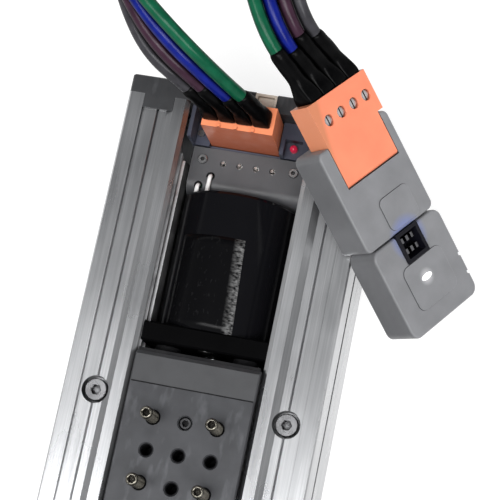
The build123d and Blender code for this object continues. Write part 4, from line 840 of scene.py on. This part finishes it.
def make_hole_threads(materials):
    """Tapped walls of the open holes of the carriage plate, near black as painted shade in the holes."""
    made = bmesh.new()
    for column, row in OPEN_HOLES:
        spot = upright(*grid_place(column, row))
        top = PLATE_TOP - HOLE_MOUTH
        rings = [ring(spot, HOLE_RADIUS, HOLE_BOTTOM - HOLE_SKIN), ring(spot, HOLE_RADIUS, top)]
        wall = thread_rings(spot, HOLE_BOTTOM, top, HOLE_ROOT, HOLE_RADIUS - HOLE_SINK, M4_PITCH)
        skin_rings(made, rings + wall[::-1])
    mesh_piece("carriage_hole_threads", made, materials["thread_shade_black"], "carriage")


def make_lead_screw(materials):
    """Four start lead screw with its journal and the groove of its ring."""
    made = bmesh.new()
    profile = (
        (JOURNAL_RADIUS - JOURNAL_CHAMFER, JOURNAL_FROM),
        (JOURNAL_RADIUS, JOURNAL_FROM + JOURNAL_CHAMFER),
        (JOURNAL_RADIUS, GROOVE[0]),
        (GROOVE_RADIUS, GROOVE[0]),
        (GROOVE_RADIUS, GROOVE[1]),
        (JOURNAL_RADIUS, GROOVE[1]),
        (JOURNAL_RADIUS, SCREW_FROM),
    )
    rings = [ring(round_screw, radius, y, SCREW_AROUND) for radius, y in profile]
    pitch = SCREW_LEAD / SCREW_STARTS
    rings += thread_rings(round_screw, SCREW_FROM, SCREW_TO, SCREW_RADIUS, SCREW_ROOT, pitch,
                          SCREW_STARTS, SCREW_AROUND)
    skin_rings(made, rings)
    screw = mesh_piece("lead_screw_threaded", made, materials["bearing_steel"], "screw")
    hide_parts("lead_screw")


def make_motor_film(materials):
    """Bare film round the top of the motor."""
    rings = []
    for row in range(FILM_ROWS + 1):
        y = FILM_NEAR + (FILM_FAR - FILM_NEAR) * row / FILM_ROWS
        right = FILM_RIGHT + FILM_SLANT * (FILM_FAR - y) / (FILM_FAR - FILM_NEAR)
        across = [FILM_LEFT + (right - FILM_LEFT) * step / FILM_STEPS for step in range(FILM_STEPS + 1)]
        turns = [math.asin(x / MOTOR_RADIUS) for x in across]
        over = [round_screw(turn, MOTOR_RADIUS + FILM_THICK, y) for turn in turns]
        under = [round_screw(turn, MOTOR_RADIUS - FILM_SINK, y) for turn in reversed(turns)]
        rings.append(over + under)
    made = bmesh.new()
    skin_rings(made, rings)
    mesh_piece("motor_film", made, materials["film_black"], "base")


def adapter_ways():
    """Ways of the adapter: across it, towards the wires, and out of its front face."""
    normal = Vector((math.sin(ADAPTER_LEAN), 0, math.cos(ADAPTER_LEAN)))
    down = Vector((math.cos(ADAPTER_LEAN), 0, -math.sin(ADAPTER_LEAN)))
    across = down * math.cos(ADAPTER_TURN) + Vector((0, math.sin(ADAPTER_TURN), 0))
    return across, normal.cross(across), normal


def adapter_point(x, y, above):
    """Point of the adapter at a height over its back face."""
    across, along, normal = adapter_ways()
    return ADAPTER_CORNER + across * x + along * y + normal * above


def make_socket_insert(materials):
    """Ivory insert of the small socket in the end plate."""
    low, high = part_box("sensor_socket")
    x_from, x_to = low[0] + INSERT_GAP, high[0] - INSERT_GAP
    y_from, y_to = low[1] + INSERT_GAP, high[1] - INSERT_GAP
    top = high[2] - INSERT_BELOW
    corners = ((x_from, y_from), (x_to, y_from), (x_to, y_to), (x_from, y_to))
    made = bmesh.new()
    skin_rings(made, [[Vector((x, y, z)) for x, y in corners] for z in (top - INSERT_DEEP, top)])
    bmesh.ops.bevel(made, geom=made.edges[:], offset=INSERT_EDGE, segments=2, affect="EDGES")
    for face in made.faces:
        face.smooth = False
    mesh_piece("sensor_socket_insert", made, materials["socket_ivory"], "base")


def rounded_corners(low_x, high_x, low_y, high_y, radius):
    """Outline of a rectangle with round corners, counterclockwise."""
    middles = ((high_x - radius, high_y - radius, 0), (low_x + radius, high_y - radius, 1),
               (low_x + radius, low_y + radius, 2), (high_x - radius, low_y + radius, 3))
    outline = []
    for x, y, quarter in middles:
        for step in range(CORNER_STEPS + 1):
            angle = (quarter + step / CORNER_STEPS) * math.pi / 2
            outline.append((x + radius * math.cos(angle), y + radius * math.sin(angle)))
    return outline


def make_pad_shade_lines(materials):
    """Dark lines round the raised pads of the adapter, standing in for the shade at their feet."""
    curve = bpy.data.curves.new("adapter_pad_shade_lines", "CURVE")
    curve.dimensions = "3D"
    curve.bevel_depth = PAD_SHADE_LINE
    curve.bevel_resolution = PAD_SHADE_LINE_ROUNDNESS
    for pad in PADS:
        outline = rounded_corners(*pad)
        spline = curve.splines.new("POLY")
        spline.points.add(len(outline) - 1)
        for point, (x, y) in zip(spline.points, outline):
            point.co = (*adapter_point(x, y, ADAPTER_THICK), 1.0)
        spline.use_cyclic_u = True
    link_piece("adapter_pad_shade_lines", curve, materials["shade_line_grey"], "base")


def make_carriage_gap_shade(materials):
    """Black strip in the joint between the carriage plate and its front end cap, standing in for the shade
    there.
    """
    made = bmesh.new()
    y, z = PLATE_HIGH[1], PLATE_TOP
    section = ((y - SEAM_WIDE / 2, z + SEAM_PROUD), (y + SEAM_WIDE / 2, z + SEAM_PROUD), (y, z - SEAM_DEEP))
    ends = (PLATE_LOW[0] + SEAM_INSET, PLATE_HIGH[0] - SEAM_INSET)
    skin_rings(made, [[Vector((x, a, b)) for a, b in section] for x in ends])
    mesh_piece("carriage_gap_shade", made, materials["rubber_black"], "carriage")


def make_lamp_window(materials):
    """Small lit window in the pad of the lower half of the adapter."""
    face = ADAPTER_THICK + PAD_RAISE
    rings = []
    angles = [2 * math.pi * step / LAMP_AROUND for step in range(LAMP_AROUND)]
    for size, above in LAMP_DOME:
        rings.append([adapter_point(
            LAMP_MIDDLE[0] + size * LAMP_LONG * math.cos(a), LAMP_MIDDLE[1] + size * LAMP_SHORT * math.sin(a),
            face + above) for a in angles])
    made = bmesh.new()
    skin_rings(made, rings)
    mesh_piece("adapter_lamp_window", made, materials["lamp_window"], "base")


# Studio

def make_floor():
    """Pale floor that shows white and still takes the object's shadow."""
    bpy.ops.mesh.primitive_plane_add(size=FLOOR_SIZE)
    floor = bpy.context.object
    floor.name = "floor"
    material = bpy.data.materials.new("floor")
    material.use_nodes = True
    tree = material.node_tree
    tree.nodes.clear()
    path = node(tree, "ShaderNodeLightPath").outputs
    seen = node(tree, "ShaderNodeMath", {0: path["Is Camera Ray"], 1: path["Is Glossy Ray"]},
                operation="MAXIMUM")
    seen = node(tree, "ShaderNodeMath", {0: seen.outputs[0], 1: path["Is Transmission Ray"]},
                operation="MAXIMUM")
    plain = node(tree, "ShaderNodeBsdfDiffuse", {"Color": opaque(FLOOR_PLAIN)})
    soft = node(tree, "ShaderNodeBsdfDiffuse", {"Color": opaque(FLOOR_SHOWN)})
    glow = node(tree, "ShaderNodeEmission", {"Color": opaque(HORIZON), "Strength": FLOOR_GLOW})
    shown = node(tree, "ShaderNodeAddShader", {0: soft.outputs[0], 1: glow.outputs[0]})
    both = node(tree, "ShaderNodeMixShader", {0: seen.outputs[0], 1: plain.outputs[0], 2: shown.outputs[0]})
    node(tree, "ShaderNodeOutputMaterial", {"Surface": both.outputs[0]})
    floor.data.materials.append(material)


def make_world():
    """White round the horizon, where the backdrop stands, and a ceiling that dims towards +Y."""
    world = bpy.data.worlds.new("studio")
    bpy.context.scene.world = world
    world.use_nodes = True
    tree = world.node_tree
    tree.nodes.clear()
    source = node(tree, "ShaderNodeTexCoord")
    parts = node(tree, "ShaderNodeSeparateXYZ", {"Vector": source.outputs["Generated"]})
    height = ranged(tree, parts.outputs["Z"], CEILING_FROM_Z)
    ceiling = mix(tree, ranged(tree, parts.outputs["Y"], CEILING_TURN_Y), CEILING_FAR, CEILING_NEAR)
    back = node(tree, "ShaderNodeBackground", {"Color": mix(tree, height, HORIZON, ceiling), "Strength": 1.0})
    node(tree, "ShaderNodeOutputWorld", {"Surface": back.outputs[0]})


def make_lights():
    """Two softboxes over the object."""
    for name, (place_at, look_at, size, watts) in SOFTBOXES.items():
        light = bpy.data.lights.new(name, "AREA")
        light.shape = "RECTANGLE"
        light.size, light.size_y = size
        light.energy = watts
        lamp_object = bpy.data.objects.new(name, light)
        bpy.context.scene.collection.objects.link(lamp_object)
        lamp_object.location = place_at
        way = Vector(look_at) - Vector(place_at)
        lamp_object.rotation_euler = way.to_track_quat("-Z", "Y").to_euler()


bpy.context.scene.view_settings.view_transform = "Standard"
make_camera()
materials = make_materials()
make_harness(materials)
dress_nodes(materials)
make_studs(materials)
make_hole_threads(materials)
make_lead_screw(materials)
make_motor_film(materials)
make_socket_insert(materials)
make_lamp_window(materials)
make_pad_shade_lines(materials)
make_carriage_gap_shade(materials)
make_floor()
make_world()
make_lights()
